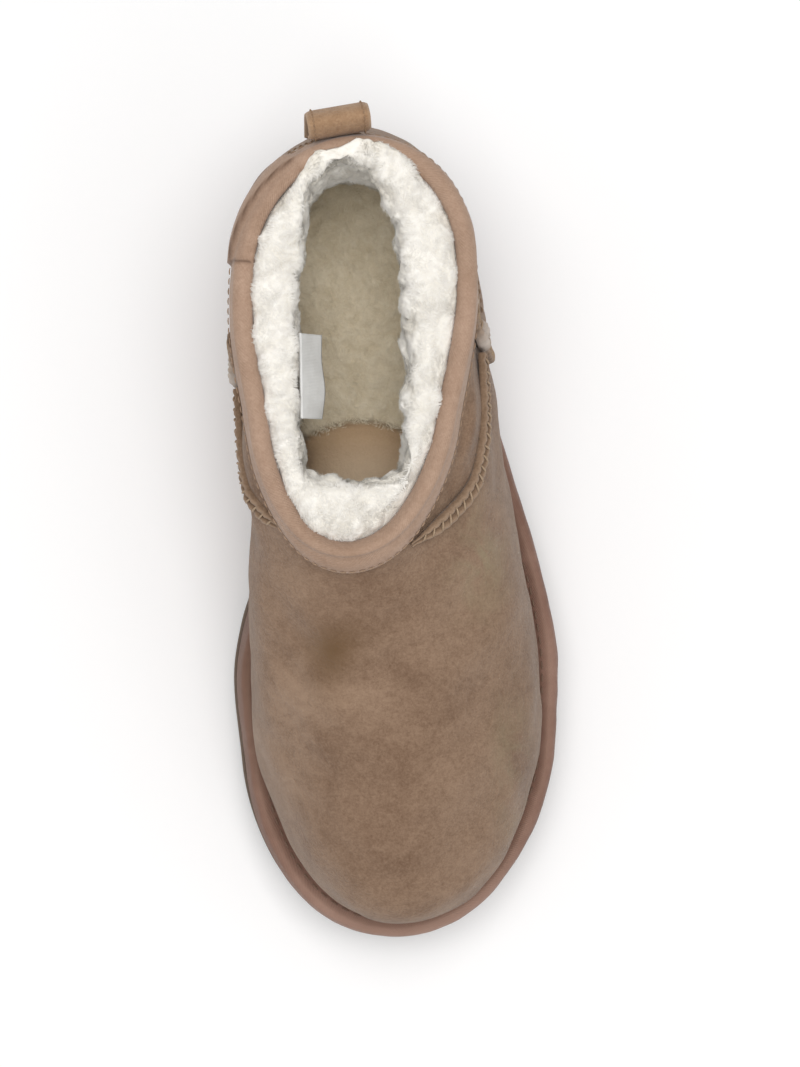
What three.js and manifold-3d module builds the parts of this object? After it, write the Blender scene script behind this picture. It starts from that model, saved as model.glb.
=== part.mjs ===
// Sheepskin boot, left shoe: a low suede shaft with a fleece lining on a thick wrapped platform.
// Millimetres, +Z up, toe towards -Y, heel towards +Y, the foot's outer side towards +X.
import * as THREE from 'three';
import { mergeVertices } from 'three/addons/utils/BufferGeometryUtils.js';
import Module from 'manifold-3d';

const wasm = await Module();
wasm.setup();

// Sizes of the sole
const soleLength = 267;
const ballWidth = 108;
const heelStack = 48;
const foreStack = 36;
const toeSpring = 8;
const archLift = 2;
const outsoleThickness = 7;
const outsoleLip = 0.7;
const lugDepth = 3;
const lugInset = 3.5;
const grooveWidth = 4;
const groovePitch = 12.5;
const grooveAngle = THREE.MathUtils.degToRad(24);
const grooveOverlap = 2;
const rimWidth = 3.6;
const rimHeight = 2;

// Sizes of the upper
const shaftRise = 94;
const featherInset = 7.5;
const wall = 2.2;
const gap = 0.3;

// Sizes of what is sewn to the upper or lies in it
const pileGap = 0.6;
const pileAtCollar = 13;
const pileInFoot = 8;
const pileLift = 2.5;
const pileLump = 1.3;
const insoleThickness = 7;
const insoleEdge = 2;
const insoleRound = 2.5;
const bindingThickness = 1.8;
const bindingCrown = 1.2;
const bindingDropOutside = 9;
const bindingDropInside = 6;
const counterThickness = 1.6;
const counterGap = 0.5;
const vampSeamHalfWidth = 2.9;
const sideSeamHalfWidth = 2.6;
const seamHeight = 2.2;
const seamGroove = 1.1;
const knobHalfWidth = 3.9;
const knobHeight = 3.6;
const knobSpan = 0.09;
const seamApart = 1.6;
const seamGap = 0.4;
const tabWidth = 19;
const tabThickness = 1.8;
const tabStandOff = 8.2;
const tabDrop = 26;
const tabEnd = 6;
const tabCrown = 1.8;
const tabShoulder = 1;
const tabAround = 0.002;
const labelLength = 26;
const labelHeight = 15;
const labelThickness = 0.7;
const labelDrop = 4;
const labelClear = 1;
const labelLean = THREE.MathUtils.degToRad(28);
const labelAround = 0.659;

// The pull tab's way up from its low end. drop: below the collar's edge, as a share of tabDrop.
// out: away from the shaft, as a share of tabStandOff.
const tabRise = [
  { drop: 1, out: 0 },
  { drop: 0.6, out: 0.4 },
  { drop: 0.25, out: 0.75 },
];

// How finely the surfaces are faceted
const stationsPerSide = 26;
const upperSteps = 13;
const liningSteps = 9;
const counterSteps = { across: 30, up: 6 };
const seamSteps = 18;

// Outline of the sole. along: share of soleLength from the heel end to the toe tip.
// outer and inner: half width on the foot's outer and arch side, as a share of ballWidth,
// before the heel and the toe are rounded off.
const soleOutline = [
  { along: 0.00, outer: 0.345, inner: 0.366 },
  { along: 0.14, outer: 0.345, inner: 0.366 },
  { along: 0.30, outer: 0.356, inner: 0.335 },
  { along: 0.42, outer: 0.424, inner: 0.312 },
  { along: 0.53, outer: 0.494, inner: 0.362 },
  { along: 0.60, outer: 0.528, inner: 0.424 },
  { along: 0.67, outer: 0.542, inner: 0.458 },
  { along: 0.78, outer: 0.519, inner: 0.447 },
  { along: 0.89, outer: 0.483, inner: 0.443 },
  { along: 1.00, outer: 0.472, inner: 0.462 },
];
const heelRound = 0.16;
const toeRound = 0.225;

// Rings of the upper above the feather line, lowest first. riseBack and riseFront: height over
// the platform as a share of shaftRise. back and front: the ring's ends as shares of soleLength.
// heel, waist, ball and nose: half widths at 0.15, 0.42, 0.68 and 0.88 of the ring's own length,
// as shares of ballWidth. shiftBack and shiftFront: how far the ring's ends sit towards the outer
// side, as shares of ballWidth. roundBack and roundFront: shares of the ring that its ends round.
const upperRings = [
  {
    name: 'wall', riseBack: 0.13, riseFront: 0.17, back: 0.017, front: 0.971,
    shiftBack: -0.03, shiftFront: 0.01, heel: 0.302, waist: 0.364, ball: 0.436, nose: 0.405,
    bias: 0.026, roundBack: 0.15, roundFront: 0.225,
  },
  {
    name: 'toe top', riseBack: 0.28, riseFront: 0.36, back: 0.015, front: 0.952,
    shiftBack: -0.038, shiftFront: 0.005, heel: 0.306, waist: 0.372, ball: 0.422, nose: 0.362,
    bias: 0.024, roundBack: 0.155, roundFront: 0.24,
  },
  {
    name: 'vamp low', riseBack: 0.42, riseFront: 0.5, back: 0.02, front: 0.883,
    shiftBack: -0.046, shiftFront: -0.014, heel: 0.306, waist: 0.366, ball: 0.39, nose: 0.315,
    bias: 0.014, roundBack: 0.16, roundFront: 0.27,
  },
  {
    name: 'vamp mid', riseBack: 0.57, riseFront: 0.62, back: 0.031, front: 0.765,
    shiftBack: -0.061, shiftFront: -0.025, heel: 0.325, waist: 0.35, ball: 0.35, nose: 0.283,
    bias: 0, roundBack: 0.175, roundFront: 0.3,
  },
  {
    name: 'instep', riseBack: 0.72, riseFront: 0.73, back: 0.04, front: 0.636,
    shiftBack: -0.066, shiftFront: -0.076, heel: 0.313, waist: 0.336, ball: 0.317, nose: 0.264,
    bias: 0, roundBack: 0.205, roundFront: 0.32,
  },
  {
    name: 'throat', riseBack: 0.86, riseFront: 0.84, back: 0.047, front: 0.548,
    shiftBack: -0.064, shiftFront: -0.114, heel: 0.311, waist: 0.329, ball: 0.286, nose: 0.252,
    bias: 0.004, roundBack: 0.24, roundFront: 0.32,
  },
  {
    name: 'collar', riseBack: 1.0, riseFront: 0.95, back: 0.053, front: 0.512,
    shiftBack: -0.054, shiftFront: -0.13, heel: 0.311, waist: 0.322, ball: 0.273, nose: 0.246,
    bias: 0.006, roundBack: 0.28, roundFront: 0.3,
  },
];

// Mouth of the wool at the collar, one more ring. Its shape fades out down the lining: it is full
// at the level mouthFull of the upper and gone at mouthGone.
const mouthRing = {
  name: 'mouth', riseBack: 1.0, riseFront: 0.95, back: 0.072, front: 0.432,
  shiftBack: -0.074, shiftFront: -0.1, heel: 0.122, waist: 0.155, ball: 0.16, nose: 0.158,
  bias: 0, roundBack: 0.14, roundFront: 0.05,
};
const mouthFull = 0.9;
const mouthGone = 0.6;

// Where the seams run on the upper. outer and arch: place around each side, 0 at the back of the
// ring and 1 at its front. level: 0 at the feather line, 1 at the collar edge. forward: 0 at the
// side seam's knob, 1 at vampSeamEnd around the ring. climb: 0 at the knob, 1 under the binding.
const sideSeamRows = [
  { level: 0.05, outer: 0.262, arch: 0.290 },
  { level: 0.35, outer: 0.300, arch: 0.332 },
  { level: 0.62, outer: 0.345, arch: 0.385 },
  { level: 0.88, outer: 0.400, arch: 0.440 },
];
const vampSeamRows = [
  { step: 0.0, forward: 0.00, climb: 0.00 },
  { step: 0.2, forward: 0.19, climb: 0.07 },
  { step: 0.4, forward: 0.47, climb: 0.31 },
  { step: 0.6, forward: 0.69, climb: 0.59 },
  { step: 0.8, forward: 0.88, climb: 0.84 },
  { step: 1.0, forward: 1.00, climb: 1.00 },
];
const vampSeamEnd = { outer: 0.925, arch: 0.87 };
// Top edge of the heel counter, from the back centre (0) to the side seam (1).
const counterTopRows = [
  { across: 0.0, level: 0.840 },
  { across: 0.3, level: 0.815 },
  { across: 0.6, level: 0.735 },
  { across: 0.85, level: 0.655 },
  { across: 1.0, level: 0.625 },
];
const knobLevel = 0.63;

const mix = THREE.MathUtils.lerp;
const smooth = THREE.MathUtils.smoothstep;

// Value of a column of a table at a place between its rows, on a smooth curve through the rows.
function columnAt(rows, by, column, place) {
  const last = rows.length - 1;
  let low = 0;
  while (low < last - 1 && place > rows[low + 1][by]) low += 1;
  const slopeAt = (index) => {
    const before = Math.max(index - 1, 0);
    const after = Math.min(index + 1, last);
    return (rows[after][column] - rows[before][column]) / (rows[after][by] - rows[before][by]);
  };
  const span = rows[low + 1][by] - rows[low][by];
  const share = THREE.MathUtils.clamp((place - rows[low][by]) / span, 0, 1);
  const square = share * share;
  const cube = square * share;
  return (2 * cube - 3 * square + 1) * rows[low][column] + (cube - 2 * square + share) * span * slopeAt(low)
    + (3 * square - 2 * cube) * rows[low + 1][column] + (cube - square) * span * slopeAt(low + 1);
}

// Rounding of a ring's two ends: each end is a quarter of an ellipse, 1 in between.
function roundedEnds(share, roundBack, roundFront) {
  const fromBack = 1 - Math.min(share / roundBack, 1);
  const fromFront = 1 - Math.min((1 - share) / roundFront, 1);
  return Math.sqrt(1 - fromBack * fromBack) * Math.sqrt(1 - fromFront * fromFront);
}

// A turn of 0 is the back of a ring, pi its front; turns from 0 to pi are on the arch side.
const shareOfTurn = (turn) => (1 - Math.cos(turn)) / 2;
const turnOfShare = (share) => Math.acos(1 - 2 * share);
const isArchSide = (turn) => Math.sin(turn) > 0;
const yOfAlong = (along) => soleLength * (0.5 - along);
const alongOfY = (y) => 0.5 - y / soleLength;

// Height of the sole's underside, with the arch's lift and the toe spring.
const springStart = 0.7;
const archStart = 0.33;
const archEnd = 0.56;
function undersideAt(along) {
  const spring = Math.max(along - springStart, 0) / (1 - springStart);
  const arch = Math.sin(Math.PI * THREE.MathUtils.clamp((along - archStart) / (archEnd - archStart), 0, 1));
  return toeSpring * spring * spring + archLift * arch * arch;
}

// Height of the platform's top face, a wedge from heel to ball that follows the toe spring.
function platformTopAt(along) {
  const spring = Math.max(along - springStart, 0) / (1 - springStart);
  return mix(heelStack, foreStack, smooth(along, 0.12, 0.72)) + toeSpring * spring * spring;
}

// Point of the sole's outline at a turn, moved out by outset across the outline.
function solePoint(turn, outset) {
  const at = (angle) => {
    const share = shareOfTurn(angle);
    const side = isArchSide(angle) ? 'inner' : 'outer';
    const width = columnAt(soleOutline, 'along', side, share) * roundedEnds(share, heelRound, toeRound);
    const half = ballWidth * width;
    return new THREE.Vector2(isArchSide(angle) ? -half : half, yOfAlong(share));
  };
  const step = 0.01;
  const direction = at(turn + step).sub(at(turn - step)).normalize();
  return at(turn).add(new THREE.Vector2(direction.y, -direction.x).multiplyScalar(outset));
}

const ringTurns = Array.from(
  { length: 2 * stationsPerSide },
  (_, index) => (Math.PI * index) / stationsPerSide,
);

// A ring of points on the sole's outline, at a height given for each place along the sole.
function soleRing(outset, heightAt) {
  return ringTurns.map((turn) => {
    const { x, y } = solePoint(turn, outset);
    return new THREE.Vector3(x, y, heightAt(alongOfY(y)));
  });
}

// A point of one of the upper's table rings.
function tableRingPoint(ring, turn) {
  const share = shareOfTurn(turn);
  const stations = [
    { at: 0, half: ring.heel },
    { at: 0.15, half: ring.heel },
    { at: 0.42, half: ring.waist },
    { at: 0.68, half: ring.ball },
    { at: 0.88, half: ring.nose },
    { at: 1, half: ring.nose },
  ];
  const half = columnAt(stations, 'at', 'half', share) * roundedEnds(share, ring.roundBack, ring.roundFront);
  const bias = ring.bias * roundedEnds(share, 1, 0.5);
  const shift = mix(ring.shiftBack, ring.shiftFront, share) + bias;
  const along = mix(ring.back, ring.front, share);
  const rise = mix(ring.riseBack, ring.riseFront, smooth(share, 0, 1)) * shaftRise;
  const x = ballWidth * (shift + (isArchSide(turn) ? -half : half));
  return new THREE.Vector3(x, yOfAlong(along), platformTopAt(along) + gap + rise);
}

// A point of the feather line, where the upper stands on the platform.
function featherPoint(turn) {
  const { x, y } = solePoint(turn, -featherInset);
  return new THREE.Vector3(x, y, platformTopAt(alongOfY(y)) + gap);
}

// The outer face of the upper: a smooth curve up through the feather line and the table's rings.
function upperPoint(turn, level) {
  const points = [featherPoint(turn), ...upperRings.map((ring) => tableRingPoint(ring, turn))];
  const rows = points.map(({ x, y, z }, index) => ({ level: index / upperRings.length, x, y, z }));
  const axis = (name) => columnAt(rows, 'level', name, level);
  return new THREE.Vector3(axis('x'), axis('y'), axis('z'));
}

// How the outer face runs at a point: its slopes with turn and level and the outward normal.
function upperSlopes(turn, level) {
  const step = 0.004;
  const low = Math.max(level - step, 0);
  const high = Math.min(level + step, 1);
  const alongTurn = upperPoint(turn + step, level).sub(upperPoint(turn - step, level)).divideScalar(2 * step);
  const alongLevel = upperPoint(turn, high).sub(upperPoint(turn, low)).divideScalar(high - low);
  const normal = new THREE.Vector3().crossVectors(alongTurn, alongLevel).normalize();
  return { alongTurn, alongLevel, normal };
}

// A point over (positive) or under (negative) the upper's outer face.
function skin(turn, level, offset) {
  return upperPoint(turn, level).addScaledVector(upperSlopes(turn, level).normal, offset);
}

// The level that lies a length below the collar edge at a turn.
function levelBelowCollar(turn, length) {
  const probe = 0.9;
  return 1 - (length * (1 - probe)) / upperPoint(turn, 1).distanceTo(upperPoint(turn, probe));
}

// Closed geometry from points and triangles, with its faces turned outwards.
function closedGeometry(points, triangles) {
  const cross = new THREE.Vector3();
  const slice = ([i, j, k]) => cross.crossVectors(points[i], points[j]).dot(points[k]);
  const volume = triangles.reduce((sum, triangle) => sum + slice(triangle), 0);
  const outward = volume < 0 ? triangles.map(([i, j, k]) => [i, k, j]) : triangles;
  const geometry = new THREE.BufferGeometry().setFromPoints(points);
  geometry.setIndex(outward.flat());
  geometry.computeVertexNormals();
  return geometry;
}

// A closed body from rings stacked upwards, its two ends closed by strips across the sole.
function stackedRings(rings) {
  const count = rings[0].length;
  const half = count / 2;
  const triangles = [];
  for (let level = 0; level < rings.length - 1; level += 1) {
    for (let i = 0; i < count; i += 1) {
      const next = (i + 1) % count;
      const [low, high] = [level * count, (level + 1) * count];
      const [a, b, c, d] = [low + i, low + next, high + next, high + i];
      triangles.push([a, b, c], [a, c, d]);
    }
  }
  const cap = (start, up) => {
    for (let i = 0; i < half; i += 1) {
      const strip = [i, i + 1, count - i - 1, (count - i) % count].map((index) => start + index);
      const corners = i === 0 ? [strip[0], strip[1], strip[2]] : strip;
      const faces = corners.length === 3 || i === half - 1
        ? [[corners[0], corners[1], corners[corners.length - 1]]]
        : [[corners[0], corners[1], corners[2]], [corners[0], corners[2], corners[3]]];
      faces.forEach(([a, b, c]) => triangles.push(up ? [a, b, c] : [a, c, b]));
    }
  };
  cap(0, false);
  cap((rings.length - 1) * count, true);
  return closedGeometry(rings.flat(), triangles);
}

// A closed body from loops of equal length set one after another. A body that does not come
// back to its first loop has its two ends closed by a fan or, on a flat loop, by strips.
function joinedLoops(loops, comesBack) {
  const size = loops[0].length;
  const spans = comesBack ? loops.length : loops.length - 1;
  const triangles = [];
  for (let loop = 0; loop < spans; loop += 1) {
    const start = loop * size;
    const onward = ((loop + 1) % loops.length) * size;
    for (let i = 0; i < size; i += 1) {
      const next = (i + 1) % size;
      triangles.push([start + i, onward + i, onward + next], [start + i, onward + next, start + next]);
    }
  }
  if (!comesBack) {
    const close = (start, first) => {
      for (let low = 0, high = size - 1; low + 1 < high; low += 1, high -= 1) {
        const faces = [[low, low + 1, high - 1], [low, high - 1, high]];
        if (low + 1 === high - 1) faces.shift();
        faces.forEach(([a, b, c]) => {
          const face = first ? [a, b, c] : [a, c, b];
          triangles.push(face.map((index) => start + index));
        });
      }
    };
    close(0, true);
    close((loops.length - 1) * size, false);
  }
  return closedGeometry(loops.flat(), triangles);
}

// Booleans on closed geometries.
function toSolid(geometry) {
  const bare = geometry.clone();
  bare.deleteAttribute('normal');
  bare.deleteAttribute('uv');
  const merged = mergeVertices(bare);
  return new wasm.Manifold(new wasm.Mesh({
    numProp: 3,
    vertProperties: new Float32Array(merged.attributes.position.array),
    triVerts: new Uint32Array(merged.index.array),
  }));
}

function toGeometry(solid) {
  const mesh = solid.getMesh();
  const geometry = new THREE.BufferGeometry();
  geometry.setAttribute('position', new THREE.BufferAttribute(new Float32Array(mesh.vertProperties), 3));
  geometry.setIndex(new THREE.BufferAttribute(new Uint32Array(mesh.triVerts), 1));
  geometry.computeVertexNormals();
  return geometry;
}

const boot = new THREE.Group();

function addPart(name, geometry, color, roughness) {
  const material = new THREE.MeshStandardMaterial({ color, roughness, metalness: 0 });
  const mesh = new THREE.Mesh(geometry, material);
  mesh.name = name;
  boot.add(mesh);
}

// Outsole: a rubber plate under the platform. Its lugs are what chevron grooves leave of the underside.
function makeOutsole() {
  const plate = toSolid(stackedRings([
    soleRing(-lugInset, undersideAt),
    soleRing(-lugInset + 0.6, (along) => undersideAt(along) + lugDepth),
    soleRing(outsoleLip - 0.5, (along) => undersideAt(along) + lugDepth),
    soleRing(outsoleLip, (along) => undersideAt(along) + outsoleThickness - 1),
    soleRing(outsoleLip - 0.6, (along) => undersideAt(along) + outsoleThickness),
  ]));
  const grooveCount = Math.floor(soleLength / groovePitch);
  let solid = plate;
  for (let index = 1; index < grooveCount; index += 1) {
    const along = index / grooveCount;
    const inArch = along > archStart && along < archEnd;
    if (inArch) continue;
    const reach = ballWidth * 0.75;
    [-1, 1].forEach((side) => {
      const groove = new THREE.BoxGeometry(reach, grooveWidth, 2 * lugDepth);
      groove.translate(side * (reach / 2 - grooveOverlap), 0, 0);
      groove.rotateZ(side * grooveAngle);
      groove.translate(0, yOfAlong(along), undersideAt(along));
      solid = solid.subtract(toSolid(groove));
    });
  }
  return toGeometry(solid);
}
addPart('outsole', makeOutsole(), 0xb3a694, 0.85);

// Platform: a light foam block under a glued cover, with a rounded rim around the upper.
const outsoleTopAt = (along) => undersideAt(along) + outsoleThickness;
const platformSide = (share) => (along) => mix(outsoleTopAt(along) + gap, platformTopAt(along), share);
addPart('platform_midsole', stackedRings([
  soleRing(-1.6, platformSide(0)),
  soleRing(-0.3, platformSide(0.14)),
  soleRing(0, platformSide(0.45)),
  soleRing(-0.4, platformSide(0.8)),
  soleRing(-1.5, (along) => platformTopAt(along) + 0.35 * rimHeight),
  soleRing(-rimWidth, (along) => platformTopAt(along) + rimHeight),
  soleRing(-rimWidth - 1.9, (along) => platformTopAt(along) + 0.55 * rimHeight),
  soleRing(gap - featherInset, platformTopAt),
]), 0x87706a, 0.9);

// Upper: one suede shell from the feather line to the collar edge, open at both.
const upperLevels = Array.from({ length: upperSteps + 1 }, (_, index) => index / upperSteps);
addPart('upper', joinedLoops(ringTurns.map((turn) => [
  ...upperLevels.map((level) => upperPoint(turn, level)),
  ...upperLevels.toReversed().map((level) => skin(turn, level, -wall)),
]), true), 0x8b735d, 0.95);

// Insole: a sheepskin footbed on the platform, inside the upper.
const insoleInset = featherInset + wall + 2 * gap + 0.4;
const insoleTopAt = (along) => platformTopAt(along) + gap + insoleThickness;
addPart('insole', stackedRings([
  soleRing(-insoleInset - 0.5, (along) => platformTopAt(along) + gap),
  soleRing(-insoleInset, (along) => insoleTopAt(along) - insoleEdge),
  soleRing(-insoleInset - insoleRound, insoleTopAt),
]), 0xb2a88a, 1);

// Fleece lining: the pile inside the upper, from the insole to a full roll at the collar.
const pileInset = wall + pileGap;
const liningFoot = 0.1;
function pileDepth(turn, level) {
  const lumps = Math.sin(5 * turn + 9 * level) * Math.sin(3 * turn - 21 * level + 1);
  const depth = mix(pileInFoot, pileAtCollar, smooth(level, 0.35, 0.95));
  return depth + pileLump * lumps * smooth(level, 0.3, 0.8);
}
const up = new THREE.Vector3(0, 0, 1);
const liningTop = 0.97;
const liningLevels = Array.from(
  { length: liningSteps + 1 },
  (_, index) => mix(liningFoot, liningTop, index / liningSteps),
);
function woolFace(turn, level) {
  const mouth = tableRingPoint(mouthRing, turn).addScaledVector(up, (level - 1) * shaftRise);
  const face = skin(turn, level, -pileInset - pileDepth(turn, level));
  face.lerp(mouth, smooth(level, mouthGone, mouthFull));
  face.z = Math.max(face.z, insoleTopAt(alongOfY(face.y)) + gap);
  return face;
}
function liningLoop(turn) {
  const stepLevel = levelBelowCollar(turn, bindingDropInside + 2 * gap);
  const behindBinding = wall + gap + bindingThickness + pileGap;
  const outerLevels = [liningFoot, ...upperLevels.slice(2, -2), stepLevel];
  const rim = skin(turn, 1, -behindBinding);
  const mouth = tableRingPoint(mouthRing, turn);
  const across = (share, lift) => rim.clone().lerp(mouth, share).addScaledVector(up, lift * pileLift);
  const roll = [skin(turn, stepLevel, -behindBinding), across(0, 0.5), across(0.4, 1.5), across(0.85, 0.9)];
  return [
    ...outerLevels.map((level) => skin(turn, level, -pileInset)),
    ...roll,
    ...liningLevels.toReversed().map((level) => woolFace(turn, level)),
  ];
}
addPart('fleece_lining', joinedLoops(ringTurns.map(liningLoop), true), 0xe6e4dc, 1);

// Collar binding: a suede tape folded over the collar edge.
function bindingLoop(turn) {
  const low = levelBelowCollar(turn, bindingDropOutside);
  const middle = levelBelowCollar(turn, bindingDropOutside / 2);
  const inside = levelBelowCollar(turn, bindingDropInside);
  const lifted = (offset, lift) => skin(turn, 1, offset).addScaledVector(up, lift);
  const face = gap + bindingThickness;
  return [
    skin(turn, low, 2 * gap),
    skin(turn, middle, 2 * gap),
    lifted(gap, gap),
    lifted(-wall - gap, gap),
    skin(turn, inside, -wall - gap),
    skin(turn, inside, -wall - face),
    lifted(-wall - face, 0.5 * bindingThickness),
    lifted(-wall / 2, face + bindingCrown),
    lifted(face, 0.5 * bindingThickness),
    skin(turn, middle, gap + face),
    skin(turn, low, gap + 0.8 * bindingThickness),
  ];
}
addPart('collar_binding', joinedLoops(ringTurns.map(bindingLoop), true), 0xb2967c, 0.9);

// Heel counter: a second layer of suede around the heel, from one side seam to the other.
const sideSeamTurn = (level, side) => turnOfShare(columnAt(sideSeamRows, 'level', side, level));
function turnMargin(turn, level, length) {
  return length / upperSlopes(turn, level).alongTurn.length();
}
const counterFoot = 0.05;
const counterEdge = knobHalfWidth + 4 * gap;
function counterLoop(index) {
  const across = mix(-1, 1, index / counterSteps.across);
  const top = columnAt(counterTopRows, 'across', 'level', Math.abs(across));
  const place = (share, offset) => {
    const level = mix(counterFoot, top, share);
    const seam = sideSeamTurn(level, across > 0 ? 'arch' : 'outer');
    const turn = across * (seam - turnMargin(seam, level, counterEdge));
    return skin(turn, level, offset);
  };
  const shares = Array.from({ length: counterSteps.up + 1 }, (_, step) => step / counterSteps.up);
  return [
    ...shares.map((share) => place(share, counterGap)),
    ...shares.toReversed().map((share) => place(share, counterGap + counterThickness)),
  ];
}
addPart('heel_counter', joinedLoops(
  Array.from({ length: counterSteps.across + 1 }, (_, index) => counterLoop(index)), false,
), 0x8b735d, 0.95);

// A raised seam on the upper: two lips with a groove between them, carried along a path on its face.
function raisedSeam(pathAt, swellAt) {
  const loops = Array.from({ length: seamSteps + 1 }, (_, index) => {
    const step = index / seamSteps;
    const nudge = 0.01;
    const here = pathAt(step);
    const ahead = pathAt(Math.min(step + nudge, 1));
    const behind = pathAt(Math.max(step - nudge, 0));
    const { alongTurn, alongLevel, normal } = upperSlopes(here.turn, here.level);
    const heading = upperPoint(ahead.turn, ahead.level).sub(upperPoint(behind.turn, behind.level));
    const sideways = new THREE.Vector3().crossVectors(normal, heading).normalize();
    const [a, b, c] = [alongTurn.dot(alongTurn), alongTurn.dot(alongLevel), alongLevel.dot(alongLevel)];
    const [p, q] = [sideways.dot(alongTurn), sideways.dot(alongLevel)];
    const perTurn = (p * c - q * b) / (a * c - b * b);
    const perLevel = (q * a - p * b) / (a * c - b * b);
    const { halfWidth, height } = swellAt(step, here.level);
    const at = (share, lift) => skin(
      here.turn + share * halfWidth * perTurn, here.level + share * halfWidth * perLevel, seamGap + lift,
    );
    return [
      at(-1, 0), at(-1, 0.55 * height), at(-0.5, height), at(0, height - seamGroove),
      at(0.5, height), at(1, 0.55 * height), at(1, 0), at(0, 0),
    ];
  });
  return joinedLoops(loops, false);
}

// Side seams: each runs from the platform to the binding and swells to a knob where three pieces meet.
const sideSeamFoot = 0.055;
const signOf = { arch: 1, outer: -1 };
function sideSeam(side) {
  const topLevel = levelBelowCollar(signOf[side] * sideSeamTurn(1, side), bindingDropOutside + 6 * gap);
  const pathAt = (step) => {
    const level = mix(sideSeamFoot, topLevel, step);
    return { turn: signOf[side] * sideSeamTurn(level, side), level };
  };
  const swellAt = (_, level) => {
    const swell = Math.max(1 - Math.abs(level - knobLevel) / knobSpan, 0);
    const rounded = swell * swell * (3 - 2 * swell);
    return {
      halfWidth: mix(sideSeamHalfWidth, knobHalfWidth, rounded),
      height: mix(seamHeight, knobHeight, rounded),
    };
  };
  return raisedSeam(pathAt, swellAt);
}

// Vamp seams: each runs from a side seam's knob forward and up to the front of the collar.
function vampSeam(side) {
  const knobTurn = sideSeamTurn(knobLevel, side);
  const start = shareOfTurn(knobTurn + turnMargin(knobTurn, knobLevel, knobHalfWidth + seamApart));
  const pathAt = (step) => {
    const around = mix(start, vampSeamEnd[side], columnAt(vampSeamRows, 'step', 'forward', step));
    const turn = signOf[side] * turnOfShare(around);
    const top = levelBelowCollar(turn, bindingDropOutside + vampSeamHalfWidth + 3 * gap);
    return { turn, level: mix(knobLevel, top, columnAt(vampSeamRows, 'step', 'climb', step)) };
  };
  return raisedSeam(pathAt, () => ({ halfWidth: vampSeamHalfWidth, height: seamHeight }));
}
['arch', 'outer'].forEach((side) => {
  addPart(`side_seam_${side}`, sideSeam(side), 0x94806c, 0.95);
  addPart(`vamp_seam_${side}`, vampSeam(side), 0x94806c, 0.95);
});

// Pull tab: a strip folded into a flat loop, sewn to the back of the shaft and standing off it.
function makePullTab() {
  const turn = turnOfShare(tabAround);
  const edge = upperPoint(turn, 1);
  const outward = upperSlopes(turn, 1).normal.setZ(0).normalize();
  const bindingFace = gap + bindingThickness;
  const shaftFaceAt = (drop) => upperPoint(turn, levelBelowCollar(turn, drop)).sub(edge).dot(outward);
  const crestHeight = edge.z + bindingFace + bindingCrown + gap + tabCrown;
  const onCounter = counterGap + counterThickness + gap + tabThickness / 2;
  const onBinding = bindingFace + 2 * gap + tabThickness / 2;
  const rise = tabRise.map(({ drop, out }) => [
    shaftFaceAt(tabDrop * drop) + onCounter + out * tabStandOff,
    edge.z - tabDrop * drop,
  ]);
  // Distance out from the collar's edge, and height.
  const route = [
    ...rise,
    [bindingFace + tabStandOff, edge.z + tabShoulder],
    [(onBinding + bindingFace + tabStandOff) / 2, crestHeight],
    [onBinding, edge.z],
    [shaftFaceAt(tabEnd) + onBinding, edge.z - tabEnd],
  ].map(([distance, height]) => new THREE.Vector2(distance, height));
  const centre = new THREE.SplineCurve(route);
  const count = 14;
  const outer = [];
  const inner = [];
  for (let index = 0; index <= count; index += 1) {
    const point = centre.getPoint(index / count);
    const direction = centre.getTangent(index / count);
    const across = new THREE.Vector2(direction.y, -direction.x).multiplyScalar(tabThickness / 2);
    outer.push(point.clone().add(across));
    inner.push(point.clone().sub(across));
  }
  const shape = new THREE.Shape([...outer, ...inner.toReversed()]);
  const tab = new THREE.ExtrudeGeometry(shape, { depth: tabWidth, bevelEnabled: false });
  tab.rotateX(Math.PI / 2);
  tab.rotateZ(Math.PI / 2);
  tab.translate(-tabWidth / 2, 0, 0);
  tab.rotateZ(Math.atan2(-outward.x, outward.y));
  tab.translate(edge.x, edge.y, 0);
  return tab;
}
addPart('pull_tab', makePullTab(), 0xa58262, 0.85);

// Size label: a blank woven tag that hangs from the lining on the arch side, below the collar.
function makeLabel() {
  const turn = turnOfShare(labelAround);
  const nudge = 0.01;
  const behind = tableRingPoint(mouthRing, turn - nudge);
  const along = tableRingPoint(mouthRing, turn + nudge).sub(behind).normalize();
  const inward = new THREE.Vector3().crossVectors(up, along).normalize();
  const hang = inward.clone().multiplyScalar(Math.sin(labelLean)).addScaledVector(up, -Math.cos(labelLean));
  const face = new THREE.Vector3().crossVectors(along, hang);
  const tag = new THREE.BoxGeometry(labelLength, labelHeight, labelThickness);
  tag.translate(0, labelHeight / 2, labelThickness / 2);
  tag.applyMatrix4(new THREE.Matrix4().makeBasis(along, hang, face));
  const place = tableRingPoint(mouthRing, turn);
  place.addScaledVector(inward, labelClear).addScaledVector(up, -labelDrop);
  return tag.translate(place.x, place.y, place.z);
}
addPart('size_label', makeLabel(), 0xe8e8e4, 0.6);

// The origin is the middle of the boot's box, on the floor.
const box = new THREE.Box3().setFromObject(boot);
const centre = box.getCenter(new THREE.Vector3());
boot.children.forEach((mesh) => mesh.position.set(-centre.x, -centre.y, -box.min.z));

export default boot;
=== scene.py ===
"""A sheepskin boot, left shoe: low suede shaft, deep fleece lining and a thick wrapped platform.

Metres, +Z up, toe towards -Y, heel towards +Y, the foot's outer side towards +X.
"""
import math

import bpy
import numpy as np
from mathutils import Matrix, Vector


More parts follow.
